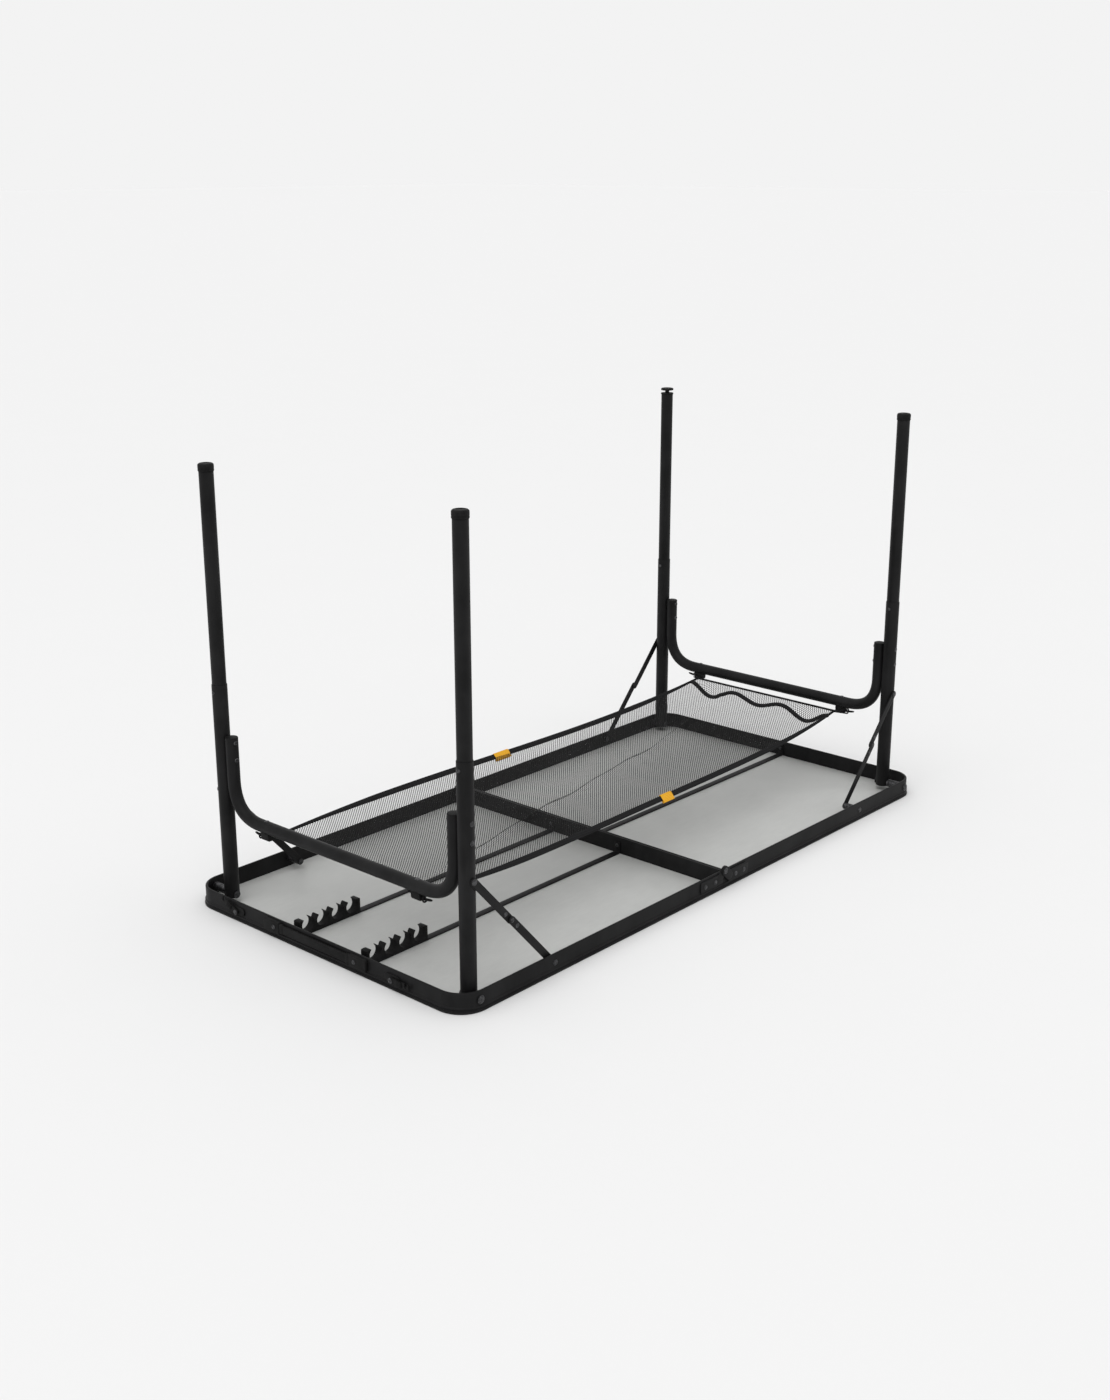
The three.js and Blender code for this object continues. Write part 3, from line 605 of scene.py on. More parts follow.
def rack(side):
    """A comb of C-shaped cradles whose lips flare out into pairs of horns."""
    rise = RACK_TOP - RACK_TUBE_Z
    start = math.degrees(math.asin(rise / RACK_R))
    mouth = RACK_R * math.cos(math.radians(start))
    left = RACK_X0 - 2
    right = RACK_X0 + RACK_PITCH * RACK_CRADLES + 2
    outline = [(left, RACK_FLOOR), (left, RACK_TOP - 1), (left + 1.5, RACK_TOP)]
    for i in range(RACK_CRADLES):
        cx = RACK_X0 + RACK_PITCH * (i + 0.5)
        if i:
            middle = cx - RACK_PITCH / 2
            outline.append((middle - 1.6, RACK_TOP - RACK_NOTCH + 1))
            outline.append((middle, RACK_TOP - RACK_NOTCH))
            outline.append((middle + 1.6, RACK_TOP - RACK_NOTCH + 1))
        outline.append((cx - mouth - 1, RACK_TOP))
        outline += arc(cx, RACK_TUBE_Z, RACK_R, 180 - start, 360 + start, 22)
        outline.append((cx + mouth + 1, RACK_TOP))
    outline += [(right - 1.5, RACK_TOP), (right, RACK_TOP - 1), (right, RACK_FLOOR)]
    y = STRAPS["near"][side]
    shape = plate("XZ", outline, y - RACK_WIDTH / 2, y + RACK_WIDTH / 2, 0.7)
    place(f"rack_{side}_comb", shape, PLASTIC, "near_half", node=f"rack_{side}")


# ---------------------------------------------------------------- carry handle, latches
HANDLE_Y = 6
HANDLE_LENGTH = 228
HANDLE_FOOT = 36
HANDLE_T = 6
HANDLE_NECK = 8


def carry_handle():
    back = -END_FACE - GAP
    front = back - HANDLE_T
    y0 = HANDLE_Y - HANDLE_LENGTH / 2
    y1 = HANDLE_Y + HANDLE_LENGTH / 2
    shapes = []
    heads = []
    for low, high, step in ((y0, y0 + HANDLE_FOOT, 1), (y1 - HANDLE_FOOT, y1, -1)):
        shapes.append(plate("YZ", box_outline(low, 11, high, 29.5, 2), front, back, 1.2))
        inner = high if step > 0 else low
        neck_low, neck_high = sorted((inner, inner + step * HANDLE_NECK))
        neck = box_outline(neck_low, 12.5, neck_high, 28, 1.5)
        shapes.append(plate("YZ", neck, front + 0.6, front + 4.6, 0.8))
        heads.append(lathe(tubular_head(3.6, 1.3), "-X", (front, (low + high) / 2 + step * 6, 20), 32))
    grip = box_outline(y0 + HANDLE_FOOT - 1, 13.5, y1 - HANDLE_FOOT + 1, 27, 1.5)
    shapes.append(plate("YZ", grip, front + 1, front + 4, 0.9))
    place("carry_handle_strip", joined(*shapes), PLASTIC, "near_half", node="carry_handle")
    place("carry_handle_rivets", joined(*heads), STEEL, "near_half")


LATCH_Z = 16
LATCH_REACH = 31
LATCH_TIP = 37
LATCH_W = 4.5
LATCH_FACE = END_FACE + GAP
LATCH_PLATE = 2
LEVER_IN = LATCH_FACE + LATCH_PLATE + GAP + 0.7
LEVER_OUT = LEVER_IN + 2.4
NOTCH_R = 2.6
# Each latch's place across the end, its lever's angle at rest, and which way its notch opens.
LATCHES = {"left": (188, 24, 1), "right": (-160, 180, -1)}


def lever_outline(lead):
    """A bar with a round near end, a blunt tip and a notch that hooks over the keeper's stud."""
    w = LATCH_W
    tip = [(LATCH_TIP - 1, -w), (LATCH_TIP, -w + 1), (LATCH_TIP, w - 1), (LATCH_TIP - 1, w)]
    root = arc(0, 0, w, 90, 270, 12)
    if lead > 0:
        notch = arc(LATCH_REACH, 0, NOTCH_R, 0, -180, 10)
        return root + tip + [(LATCH_REACH + NOTCH_R, w), *notch, (LATCH_REACH - NOTCH_R, w)]
    notch = arc(LATCH_REACH, 0, NOTCH_R, 180, 0, 10)
    return root + [(LATCH_REACH - NOTCH_R, -w), *notch, (LATCH_REACH + NOTCH_R, -w)] + tip


def latch(side):
    y, rest, lead = LATCHES[side]
    base = plate("YZ", slot_outline(y - 10, LATCH_Z + 1.5, y + 10, LATCH_Z + 1.5, 6.5),
                 -LATCH_FACE - LATCH_PLATE, -LATCH_FACE, 0.7)
    stud = lathe([(2.5, LATCH_FACE + 1), (2.5, LEVER_OUT + GAP), (4.2, LEVER_OUT + GAP),
                  (4.2, LEVER_OUT + GAP + 0.6), (3.2, LEVER_OUT + GAP + 1.15), (0, LEVER_OUT + GAP + 1.2)],
                 "-X", (0, y, LATCH_Z), 32)
    place(f"latch_base_{side}_plate", base, PLASTIC, "near_half", node=f"latch_base_{side}")
    place(f"latch_base_{side}_stud", stud, STEEL, "near_half")

    w = LATCH_W
    pivot_hole = arc(0, 0, 2.8, 0, 342, 19)
    lever = plate("YZ", lever_outline(lead), -LEVER_OUT, -LEVER_IN, 0.5, holes=[pivot_hole])
    pad = plate("YZ", box_outline(11, -w, 23, w, 1.6), -LEVER_OUT - 1.8, -LEVER_IN - 0.4, 0.7)
    ribs = []
    for x in (14, 17, 20):
        rib = box_outline(x - 0.6, -w + 1, x + 0.6, w - 1, 0.4)
        ribs.append(plate("YZ", rib, -LEVER_OUT - 2.2, -LEVER_OUT - 1, 0.3))
    angle = math.radians(rest)

    def turned(px, py, pz):
        across = y + py * math.cos(angle) - pz * math.sin(angle)
        height = LATCH_Z + py * math.sin(angle) + pz * math.cos(angle)
        return px, across, height

    shape = mapped(joined(lever, pad, *ribs), turned)
    place(f"latch_lever_{side}_arm", shape, PLASTIC, f"latch_lever_{side}", node=f"latch_lever_{side}")


def keeper(side):
    y = LATCHES[side][0]
    base = plate("YZ", slot_outline(y - 8, 18, y + 8, 18, 6.5), LATCH_FACE, LATCH_FACE + LATCH_PLATE, 0.7)
    stud_z = 2 * HINGE_Z - (LATCH_Z + LATCH_REACH)
    profile = [(2, LATCH_FACE + 0.5), (2, LEVER_OUT + 1.3), (1.5, LEVER_OUT + 1.8), (0, LEVER_OUT + 1.8)]
    stud = lathe(profile, "X", (0, y, stud_z), 28)
    node = f"latch_keeper_{side}"
    place(f"{node}_plate", joined(base, stud), PLASTIC, "far_half", node=node)


# ---------------------------------------------------------------- hinges
LEAF_REACH = 62
LEAF_T = 1.8
LEAF_Z = (10, 28)
EAR_R = 8
NEAR_LEAF_RIVETS = (-50, -24)
FAR_LEAF_RIVETS = (28, 50)
LEAF_RIVET_Z = 18
LEAF_FACE = SIDE_FACE + GAP
OUTER_LAYER = LEAF_FACE + LEAF_T + GAP


def flat_across(outline, out, inner, thickness, bevel=0.35, holes=()):
    """A plate in the XZ plane that starts at a distance from the middle, on one side."""
    low, high = sorted((out * inner, out * (inner + thickness)))
    return plate("XZ", outline, low, high, bevel, holes)


def leaf_rivets(axis, y, places):
    return [lathe(domed_head(4, 1.2), axis, (x, y, LEAF_RIVET_Z), 28) for x in places]


def near_leaf(side, out):
    axis = "Y" if out > 0 else "-Y"
    leaf = flat_across(box_outline(-LEAF_REACH, LEAF_Z[0], -3, LEAF_Z[1], 2), out, LEAF_FACE, LEAF_T)
    ear = flat_across(slot_outline(-12, 20, 0, HINGE_Z, EAR_R), out, LEAF_FACE, LEAF_T + 0.05)
    head = OUTER_LAYER + LEAF_T + GAP
    pin = lathe([(2.6, LEAF_FACE + 0.5), (2.6, head), (5.2, head), (5.2, head + 0.5), (4.6, head + 1),
                 (3.6, head + 1.1), (3.4, head + 1.7), (0, head + 1.8)], axis, (0, 0, HINGE_Z), 36)
    rivets = leaf_rivets(axis, out * (LEAF_FACE + LEAF_T), NEAR_LEAF_RIVETS)
    node = f"near_hinge_leaf_{side}"
    place(f"{node}_plate", joined(leaf, ear), TUBE, "near_half", node=node)
    place(f"near_hinge_pin_{side}", joined(pin, *rivets), STEEL, "near_half")


def far_leaf(side, out):
    axis = "Y" if out > 0 else "-Y"
    thickness = OUTER_LAYER + LEAF_T - LEAF_FACE
    outline = box_outline(EAR_R + 1.5, LEAF_Z[0], LEAF_REACH, LEAF_Z[1], 2)
    leaf = flat_across(outline, out, LEAF_FACE, thickness, 0.6)
    pin_hole = arc(0, HINGE_Z, 2.9, 0, 342, 19)
    ear = flat_across(slot_outline(0, HINGE_Z, 12, 20, EAR_R), out, OUTER_LAYER, LEAF_T + 0.05,
                      holes=[pin_hole])
    rivets = leaf_rivets(axis, out * (OUTER_LAYER + LEAF_T), FAR_LEAF_RIVETS)
    node = f"far_hinge_leaf_{side}"
    place(f"{node}_plate", joined(leaf, ear), TUBE, "far_half", node=node)
    place(f"far_hinge_rivets_{side}", joined(*rivets), STEEL, "far_half")


# ---------------------------------------------------------------- legs
LEG_MOUTH = 14            # how far the open bore is drawn down inside a leg


def leg(half, side):
    y, out = LEGS[side]
    axis = "Y" if out > 0 else "-Y"
    bottom = PIVOT_Z - 6
    tube = lathe([
        (0, bottom), (10.4, bottom), (11.5, bottom + 0.5), (LEG_R, bottom + 1.6),
        (LEG_R, LEG_TOP - 1.4), (LEG_R - 0.12, LEG_TOP - 0.5), (LEG_R - 0.35, LEG_TOP),
        (LEG_BORE_R, LEG_TOP), (LEG_BORE_R, LEG_TOP - LEG_MOUTH),
    ], "Z", (-LEG_X, y, 0), 72)
    name = f"{half}_{side}_leg"
    place(f"{name}_tube", tube, TUBE, f"{half}_legs", half, name)
    line = abs(y)
    stud = lathe([
        (STUD_R, line + LEG_BORE_R), (STUD_R, line + STUD_HEAD_OUT), (5, line + STUD_HEAD_OUT),
        (4.9, line + STUD_HEAD_OUT + 0.5), (3.6, line + STUD_HEAD_OUT + 1), (0, line + STUD_HEAD_OUT + 1),
    ], axis, (-LEG_X, 0, LINK_LEG_Z), 32)
    heads = [lathe([(4, LEG_BORE_R), (4, LEG_R + 0.1), (3.4, LEG_R + 0.28), (0, LEG_R + 0.3)],
                   axis, (-LEG_X, y, z), 28) for z in U_RIVETS]
    place(f"{name}_rivets", joined(stud, *heads), STEEL, f"{half}_legs", half)


def extension(half, side):
    y, _ = LEGS[side]
    tube = lathe([
        (TUBE_R - 1, TUBE_BOTTOM), (TUBE_R - 0.2, TUBE_BOTTOM), (TUBE_R, TUBE_BOTTOM + 0.6),
        (TUBE_R, TUBE_TOP - 0.3), (TUBE_R - 0.3, TUBE_TOP), (TUBE_R - 1, TUBE_TOP),
    ], "Z", (-LEG_X, y, 0), 72, closed=True)
    node = f"{half}_{side}_extension_tube"
    place(f"{node}_wall", tube, TUBE, f"{half}_{side}_extension", half, node)


def snap_button(half, side):
    y, _ = LEGS[side]
    profile = [(0, 11.5), (3, 11.5), (3, 12.4), (2.75, 13.0), (2.1, 13.4), (1.1, 13.58), (0, 13.6)]
    axis = "-X" if half == "near" else "X"
    node = f"{half}_{side}_snap_button"
    shape = lathe(profile, axis, (-LEG_X, y, BUTTON_Z), 32)
    place(f"{node}_dome", shape, STEEL, f"{half}_{side}_button", half, node)


PLUG_DEPTH = 12
DISC_T = 4
STEM_R = 4


def foot_cap(half, side):
    """A moulded cap, or for one leg the collar and the disc of the levelling foot."""
    y, _ = LEGS[side]
    node = f"{half}_{side}_foot_cap"
    body = f"{half}_{side}_extension"
    plug = TUBE_R - 1.3
    skirt = [(plug, TUBE_TOP - PLUG_DEPTH), (plug, TUBE_TOP + GAP), (LEG_R - 0.3, TUBE_TOP + GAP),
             (LEG_R, TUBE_TOP + 0.8)]
    if (half, side) == ("far", "right"):
        bore = STEM_R + 0.5
        collar = [(bore, TUBE_TOP - PLUG_DEPTH), *skirt, (LEG_R, LEVEL_CAP_TOP - 0.6),
                  (LEG_R - 0.5, LEVEL_CAP_TOP), (5, LEVEL_CAP_TOP), (bore, LEVEL_CAP_TOP - 0.5)]
        shape = lathe(collar, "Z", (-LEG_X, y, 0), 64, closed=True)
        place(f"{node}_collar", shape, PLASTIC, body, half, node)
        levelling_foot(half, y)
        return
    cap = [(0, TUBE_TOP - PLUG_DEPTH), *skirt, (LEG_R, TUBE_TOP + 3.2), (LEG_R - 0.35, TUBE_TOP + 3.5),
           (LEG_R - 0.35, TUBE_TOP + 4.1), (LEG_R, TUBE_TOP + 4.4), (LEG_R, HEIGHT - 2.6),
           (LEG_R - 0.6, HEIGHT - 1.3), (LEG_R - 1.8, HEIGHT - 0.3), (LEG_R - 3, HEIGHT),
           (6.4, HEIGHT), (6, HEIGHT - 0.6), (0, HEIGHT - 0.6)]
    place(f"{node}_moulding", lathe(cap, "Z", (-LEG_X, y, 0), 64), PLASTIC, body, half, node)


def levelling_foot(half, y):
    low = HEIGHT - DISC_T
    disc = [(0, TUBE_TOP - 8), (STEM_R, TUBE_TOP - 8), (STEM_R, low - 0.4), (4.6, low), (11, low),
            (11.9, low + 0.6), (LEG_R, low + 1.4), (LEG_R, low + 2.6), (11.6, HEIGHT - 0.6),
            (10.6, HEIGHT), (7.2, HEIGHT), (6.8, HEIGHT - 0.5), (0, HEIGHT - 0.5)]
    shape = lathe(disc, "Z", (-LEG_X, y, 0), 64)
    place("levelling_foot_disc", shape, PLASTIC, "levelling_foot", half, "levelling_foot")


# ---------------------------------------------------------------- U-shaped brace tube
U_ARM = LEG_SPACING / 2 - LEG_R - GAP - U_R
PLUG_TOP = 1.6            # how far the end plugs stand above the tube
BEND_STEPS = 24


def brace_path(top):
    """The tube's centreline: down one arm, along the cross bar and up the other arm."""
    bend = U_ARM - U_BEND
    path = [(-U_ARM, top), (-U_ARM, (top + U_BAR_Z + U_BEND) / 2)]
    for i in range(BEND_STEPS + 1):
        t = i / BEND_STEPS
        path.append((-U_ARM + U_BEND * t * t, U_BAR_Z + U_BEND * (1 - t) ** 2))
    path += [(-bend / 2, U_BAR_Z), (0, U_BAR_Z)]
    return path + [(-y, z) for y, z in reversed(path[:-1])]


def brace_tube(half):
    body = f"{half}_legs"
    top = U_TOP - PLUG_TOP
    path = [(-LEG_X, y - LEG_SHIFT, z) for y, z in brace_path(top)]
    node = f"{half}_brace_tube"
    place(f"{node}_bend", swept(path, ring(U_R, 56), side=(1, 0, 0)), TUBE, body, half, node)
    plugs = []
    heads = []
    for _, out in LEGS.values():
        arm_y = out * U_ARM - LEG_SHIFT
        profile = [(0, top - 1), (U_R - 0.4, top - 1), (U_R - 0.1, top), (U_R, top + 0.4),
                   (U_R - 0.4, top + 1.2), (U_R - 1.6, U_TOP), (0, U_TOP)]
        plugs.append(lathe(profile, "Z", (-LEG_X, arm_y, 0), 48))
        axis = "-Y" if out > 0 else "Y"
        for z in U_RIVETS:
            seat = (-LEG_X, arm_y - out * (U_R - 0.15), z)
            heads.append(lathe(tubular_head(3.7, 1.2), axis, seat, 28))
        screw_y = out * HOOK_Y - LEG_SHIFT
        heads.append(lathe(domed_head(3.8, 1.2), "Z", (-LEG_X, screw_y, U_BAR_Z + U_R - 0.15), 28))
    place(f"{half}_brace_plugs", joined(*plugs), PLASTIC, body, half)
    place(f"{half}_brace_rivets", joined(*heads), STEEL, body, half)


PRONG_R = 2.4
# The prong's stations: how far out from the saddle, how far up it curves, and its thickness there.
PRONG = [
    (0, 0, 1.25), (5, 0, 1.2), (10, 0.1, 1.1), (15, 0.3, 1.0), (19, 0.7, 0.95), (23, 1.2, 0.9),
    (26, 1.7, 0.8), (28, 2.0, 0.55), (28.9, 2.1, 0.2),
]


def shelf_hook(half, side):
    """A plastic saddle screwed under the cross bar, with a tapering prong outward."""
    _, out = LEGS[side]
    middle = out * HOOK_Y - LEG_SHIFT
    seat = [(x, z) for x, z in arc(0, U_BAR_Z, U_R + GAP, 306, 234, 12)]
    outline = [(-LEG_X + x, z) for x, z in seat]
    outline += [(-LEG_X - 6.4, 141), (-LEG_X - 5.6, 135), (-LEG_X - 4, PRONG_Z - 3.4)]
    outline += [(-LEG_X + 4, PRONG_Z - 3.4), (-LEG_X + 5.6, 135), (-LEG_X + 6.4, 141)]
    saddle = plate("XZ", outline, middle - 9, middle + 9, 0.7)
    path = [(-LEG_X, middle + out * reach, PRONG_Z + lift) for reach, lift, _ in PRONG]
    scales = [scale for _, _, scale in PRONG]
    prong = swept(path, ring(PRONG_R, 20, 0.85), side=(0, 0, 1), scales=scales)
    node = f"{half}_{side}_shelf_hook"
    place(f"{node}_saddle", joined(saddle, prong), PLASTIC, f"{half}_legs", half, node)


# ---------------------------------------------------------------- folding braces
LEG_ARM = LINK_LEG_Z - PIVOT_Z
RIM_ARM = LEG_X - LINK_X
LINK_SUM = math.hypot(LEG_ARM, RIM_ARM)
LINK_UPPER = (LINK_SUM - (LEG_ARM - RIM_ARM)) / 2
KNEE_X = -LEG_X + RIM_ARM * LINK_UPPER / LINK_SUM
KNEE_Z = LINK_LEG_Z - LEG_ARM * LINK_UPPER / LINK_SUM
LINK_RIVETS = (0, 15)     # distances of the rivet heads from the knee


def link(half, side, part, x, z, offset):
    """One bar of a folding brace, from its outer end to the knee."""
    y, out = LEGS[side]
    axis = "Y" if out > 0 else "-Y"
    inner = abs(y) + offset
    hole = arc(x, z, STUD_R + GAP, 0, 342, 19)
    body = flat_across(slot_outline(x, z, KNEE_X, KNEE_Z, LINK_HALF_WIDTH), out, inner, LINK_T, 0.4, [hole])
    dx = x - KNEE_X
    dz = z - KNEE_Z
    length = math.hypot(dx, dz)
    name = f"{half}_{side}_{part}_link"
    place(f"{name}_bar", body, TUBE, name, half, name)
    heads = []
    for along in LINK_RIVETS:
        hx = KNEE_X + dx / length * along
        hz = KNEE_Z + dz / length * along
        heads.append(lathe(domed_head(3.6, 1.0), axis, (hx, out * (inner + LINK_T), hz), 28))
    place(f"{name}_rivets", joined(*heads), STEEL, name, half)


# ---------------------------------------------------------------- net shelf
NET_HALF_WIDTH = 160
NET_END = 546
NET_FOLD = 524            # the loose end hem lies this far out, before the net turns up to its end cord
NET_END_Z = 137           # height of the corners of the net, at the hooks
# Each long hem's sag in the middle, how much more it sags towards the far end, and how squarely
# it leaves the hooks.
HEM_SAG = {"right": (24, 0, 4), "left": (3.5, 4.9, 2)}
# Each loose end hem's swags: their depth in the middle, how it changes across, and their number.
SWAGS = {"near": (9.5, -8, 0, 4), "far": (12, 0, 18, 3)}
# A sharp crease runs from the near right corner to the far left one: its place at the middle of
# the table, its slant, and how much it curves towards the corners.
CREASE = (-21, 91, 38)
CREASE_HEIGHT = 9
CREASE_WIDTH = 5
HEM_FACE = (-0.756, 0.655)  # the way that the flat of a long hem faces, as (y, z)
HEM_WIDTH = 9.5
HEM_END_WIDTH = 4
HEM_TAPER = 0.62          # share of the length, from the middle, over which a hem keeps its width
HEM_T = 2.2
LOOSE_HEM_R = 4.8
END_CORD_R = 1.9
LOOP_R = 1.3              # thickness of a corner loop's cord
LOOP_TURN = 4.4           # radius of its turn round the prong
SAG = 11                  # how far the middle of the net hangs below its long hems
END_DRAPE = 70            # length over which the net hangs down towards a loose hem


def hem_height(side, x):
    sag, lean, squareness = HEM_SAG[side]
    u = x / NET_END
    return NET_END_Z - sag * (1 - abs(u) ** squareness) * (1 + lean * u)


def swag(half, t):
    depth, lean, bow, count = SWAGS[half]
    return (depth + lean * t + bow * t * t) * math.sin(math.pi * count * (t + 1) / 2) ** 2


def crease_side(x):
    middle, slant, curve = CREASE
    u = x / NET_END
    return middle + slant * u + curve * u ** 3


def net_height(x, t):
    """Height of the net at x, and t across it from -1 at the right hem to 1 at the left."""
    share = (t + 1) / 2
    z = hem_height("right", x) * (1 - share) + hem_height("left", x) * share
    along = 1 - (abs(x) / NET_END) ** 4
    z -= SAG * (1 - t * t) * along
    z += 2.2 * math.sin(x / 46 + 2.6 * t) * (1 - abs(t)) ** 0.7 * along
    z += 1.3 * math.sin(x / 19 - 5 * t + 1.1) * (1 - t * t) * along
    off_crease = net_side(x, t) - crease_side(x)
    z += CREASE_HEIGHT * math.exp(-(off_crease / CREASE_WIDTH) ** 2) * along
    drop = swag("far" if x > 0 else "near", t)
    inward = (abs(x) - (NET_FOLD - END_DRAPE)) / END_DRAPE
    if abs(x) <= NET_FOLD:
        z -= drop * max(inward, 0) ** 2
    else:
        z -= drop * (NET_END - abs(x)) / (NET_END - NET_FOLD)
    return z


def net_side(x, t):
    """The long hems pull in a little between the hooks, and the ends follow the offset of the legs."""
    waist = 6 * (1 - (x / NET_END) ** 2)
    return t * (NET_HALF_WIDTH - waist) + LEG_SHIFT * x / NET_END


def hem_width(x):
    """A long hem keeps its width along the middle and narrows towards the hooks."""
    narrowing = max(abs(x) / NET_END - HEM_TAPER, 0) / (1 - HEM_TAPER)
    return HEM_WIDTH - (HEM_WIDTH - HEM_END_WIDTH) * narrowing


def net(half):
    """Half of the shelf, from the middle of the table to its hooks, with its hems and cords."""
    sign = -1 if half == "near" else 1
    body = f"{half}_half"
    tail = (NET_END - NET_FOLD) / 4
    columns = [NET_FOLD * i / 104 for i in range(105)] + [NET_FOLD + tail * i for i in range(1, 5)]

    def row(x, ts, lower=0):
        return [(sign * x, net_side(sign * x, t), net_height(sign * x, t) - lower) for t in ts]

    ts = [-1 + 2 * i / 120 for i in range(121)]
    cloth = place(f"{half}_net", grid([row(x, ts) for x in columns]), NET, body,
                  node=f"{half}_shelf", sharp=180)
    uv = cloth.data.uv_layers.new(name="UVMap")
    for loop in cloth.data.loops:
        co = cloth.data.vertices[loop.vertex_index].co
        uv.data[loop.index].uv = (co.x + 1, co.y + 1)
    pieces = []
    for side, t in (("right", -1), ("left", 1)):
        path = [row(x, [t])[0] for x in columns[::2]]
        scales = [hem_width(x) / HEM_WIDTH for x in columns[::2]]
        tape = swept(path, rounded_bar(HEM_WIDTH, HEM_T, 0.8), side=(0, *HEM_FACE), scales=scales)
        pieces.append(place(f"{half}_net_{side}_hem", tape, TAPE, body))
    fine = [-1 + 2 * i / 90 for i in range(91)]
    loose = swept(row(NET_FOLD, fine, 0.4), ring(LOOSE_HEM_R, 16, 0.75))
    pieces.append(place(f"{half}_net_loose_hem", loose, TAPE, body))
    cord = swept(row(NET_END, fine), ring(END_CORD_R, 16))
    pieces.append(place(f"{half}_net_end_cord", cord, TAPE, body))
    for side, t in (("right", -1), ("left", 1)):
        pieces.append(corner_loop(half, sign, side, t, body))
    for piece in (cloth, *pieces):
        crumple(piece)
    return cloth, pieces


def crumple(piece):
    """Gives a piece of the shelf its own copy of its mesh."""
    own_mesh(piece)


def corner_loop(half, sign, side, t, body):
    """The elastic loop from a corner of the net round the prong of its hook."""
    hook_y = t * HOOK_Y + (-LEG_SHIFT if sign < 0 else LEG_SHIFT)
    start = Vector((sign * NET_END, net_side(sign * NET_END, t), net_height(sign * NET_END, t)))
    prong = Vector((sign * LEG_X, hook_y + t * 14, PRONG_Z + 0.3))
    r = LOOP_TURN
    path = [tuple(start + Vector((0, 0, 0.9)))]
    path.append((start.x * 0.6 + prong.x * 0.4, start.y * 0.5 + prong.y * 0.5, prong.z + 1.6))
    for angle in range(60, 301, 30):
        a = math.radians(angle)
        path.append((prong.x + sign * r * -math.cos(a), prong.y, prong.z + r * math.sin(a)))
    path.append((start.x * 0.6 + prong.x * 0.4, start.y * 0.5 + prong.y * 0.5, prong.z - 2.4))
    path.append(tuple(start - Vector((0, 0, 1.6))))
    cord = swept(path, ring(LOOP_R, 12), side=(0, 1, 0.2))
    return place(f"{half}_net_{side}_loop", cord, TAPE, body)


def tag(name, x, t, half, length):
    """A plain woven tag folded over the upper edge of a long hem."""
    y = net_side(x, t)
    z = net_height(x, t)
    face_y, face_z = HEM_FACE
    fold = [(-9, -1.9), (4.4, -1.9), (5.8, 0), (4.4, 1.9), (-9, 1.9)]
    path = [(x, y + a * face_z + b * face_y, z - a * face_y + b * face_z) for a, b in fold]
    shape = swept(path, rounded_bar(length, 0.6, 0.25), side=(0, 0, 1))
    return place(name, shape, TAG, f"{half}_half", sharp=60)


def shelf():
    tags = {
        "near": tag("near_net_tag", -42, 1, "near", 36),
        "far": tag("far_net_tag", 32, -1, "far", 28),
    }
    for half in HALVES:
        cloth, pieces = net(half)
        crumple(tags[half])


# ---------------------------------------------------------------- studio
FLOOR_HALF_SIZE = 60      # metres, so that no edge of it shows


def stage():
    floor_mesh = bpy.data.meshes.new("floor")
    work = bmesh.new()
    bmesh.ops.create_grid(work, x_segments=8, y_segments=8, size=FLOOR_HALF_SIZE)
    work.to_mesh(floor_mesh)
    work.free()
    floor_mesh.materials.append(pale_floor())
    floor = bpy.data.objects.new("floor", floor_mesh)
    floor.location = (0, 0, -0.0005)
    bpy.context.scene.collection.objects.link(floor)


def lamp(name, kind, energy, location, target, size=1.0):
    light = bpy.data.lights.new(name, kind)
    light.energy = energy
    if kind == "AREA":
        light.shape = "RECTANGLE"
        light.size = size
        light.size_y = size * 0.6
    else:
        light.angle = math.radians(50)
    obj = bpy.data.objects.new(name, light)
    obj.location = location
    obj.rotation_euler = (Vector(target) - Vector(location)).to_track_quat("-Z", "Y").to_euler()
    bpy.context.scene.collection.objects.link(obj)


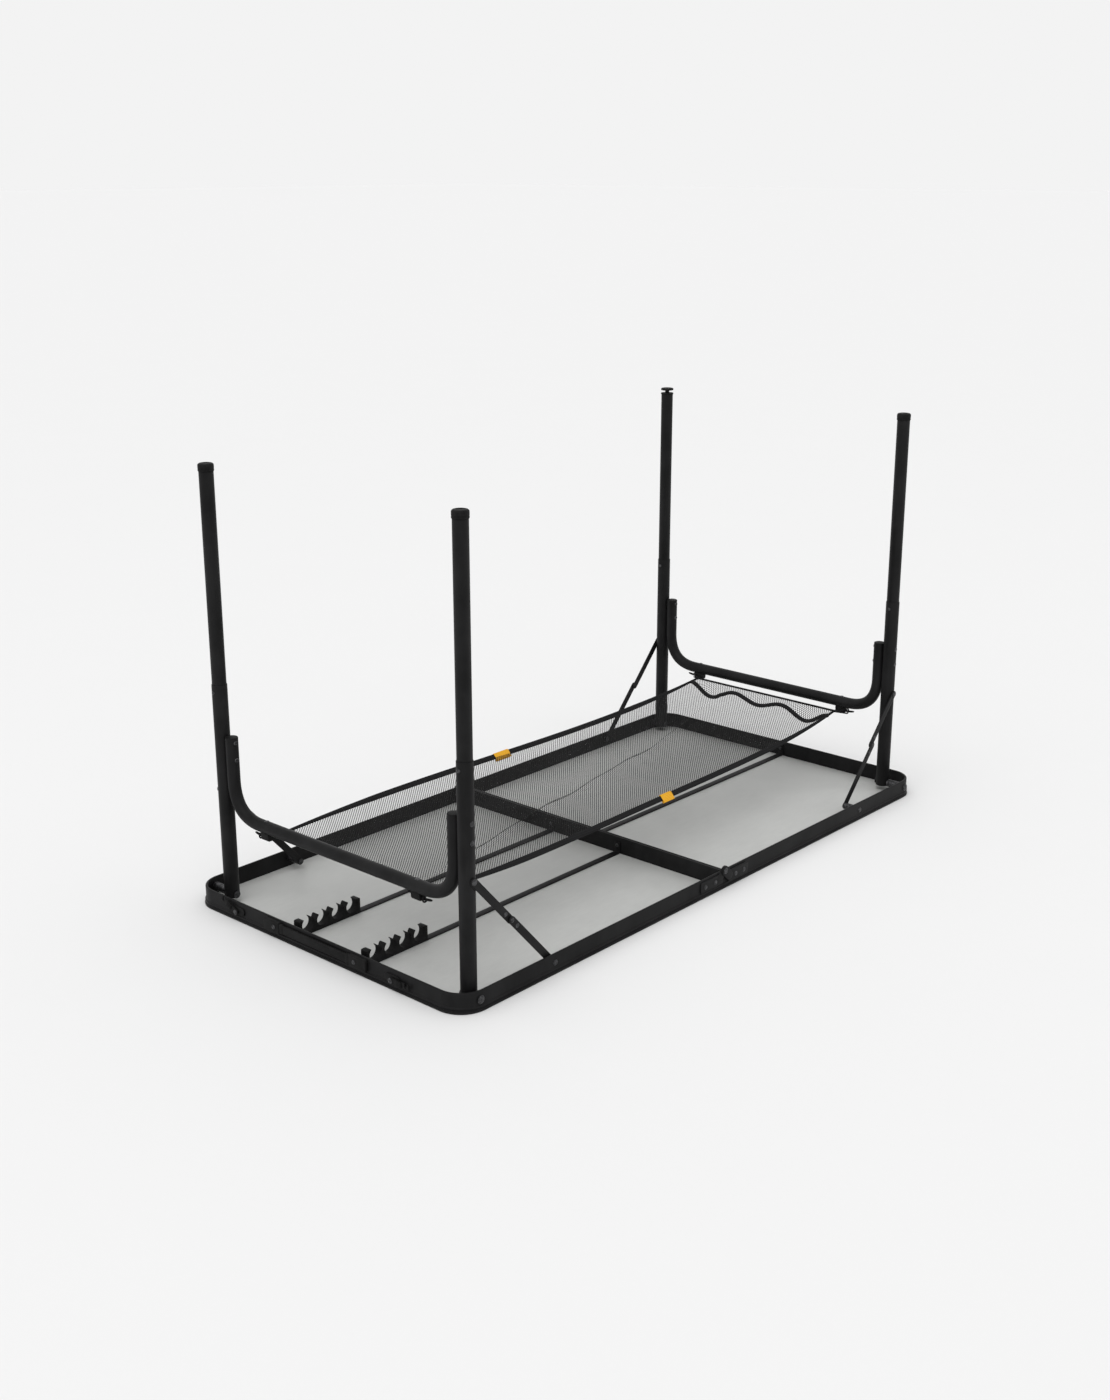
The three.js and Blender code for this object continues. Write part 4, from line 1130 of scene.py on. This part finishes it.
def lights():
    world = bpy.data.worlds.new("studio")
    world.use_nodes = True
    background = world.node_tree.nodes["Background"]
    background.inputs["Color"].default_value = (0.896, 0.896, 0.896, 1)
    background.inputs["Strength"].default_value = 1.0
    bpy.context.scene.world = world
    lamp("key", "SUN", 0.8, (-2.5, -1.0, 4.5), (0, 0, 0.2))
    lamp("left_softbox", "AREA", 3.5, (-3.2, 1.2, 2.0), (0, 0, 0.3), 2.2)
    lamp("right_softbox", "AREA", 3.5, (1.6, -3.2, 2.2), (0, 0, 0.3), 2.0)


# The camera's place in metres, its direction and roll in degrees, and its lens in millimetres.
CAMERA = (-2.0853, -1.7964, 1.1237)
AZIMUTH = -48.235
ELEVATION = 17.496
ROLL = -0.071
LENS = 44.162
SENSOR = 36


def camera():
    a = math.radians(AZIMUTH)
    e = math.radians(ELEVATION)
    roll = math.radians(ROLL)
    back = Vector((math.sin(a) * math.cos(e), -math.cos(a) * math.cos(e), math.sin(e)))
    right = (-back).cross(Vector((0, 0, 1))).normalized()
    up = right.cross(-back)
    rolled_right = right * math.cos(roll) + up * math.sin(roll)
    rolled_up = up * math.cos(roll) - right * math.sin(roll)
    data = bpy.data.cameras.new("camera")
    data.sensor_width = SENSOR
    data.lens = LENS
    data.clip_start = 0.05
    data.clip_end = 200
    obj = bpy.data.objects.new("camera", data)
    rotation = Matrix((rolled_right, rolled_up, back)).transposed()
    obj.matrix_world = Matrix.Translation(CAMERA) @ rotation.to_4x4()
    bpy.context.scene.collection.objects.link(obj)
    bpy.context.scene.camera = obj


# ---------------------------------------------------------------- assembly
def build():
    for half in HALVES:
        rim(half)
        rim_studs(half)
        centre_rail(half)
        panel(half)
        for side, y in STRAPS[half].items():
            strap(half, side, y)
        brace_tube(half)
        for side in LEGS:
            pivot_pin(half, side)
            leg(half, side)
            extension(half, side)
            snap_button(half, side)
            foot_cap(half, side)
            shelf_hook(half, side)
            link(half, side, "upper", -LEG_X, LINK_LEG_Z, UPPER_LINK_OUT)
            link(half, side, "lower", -LINK_X, PIVOT_Z, LOWER_LINK_OUT)
    for side, out in (("left", 1), ("right", -1)):
        rack(side)
        latch(side)
        keeper(side)
        near_leaf(side, out)
        far_leaf(side, out)
    carry_handle()
    shelf()


build()
stage()
lights()
camera()
bpy.context.scene.view_settings.view_transform = "Standard"
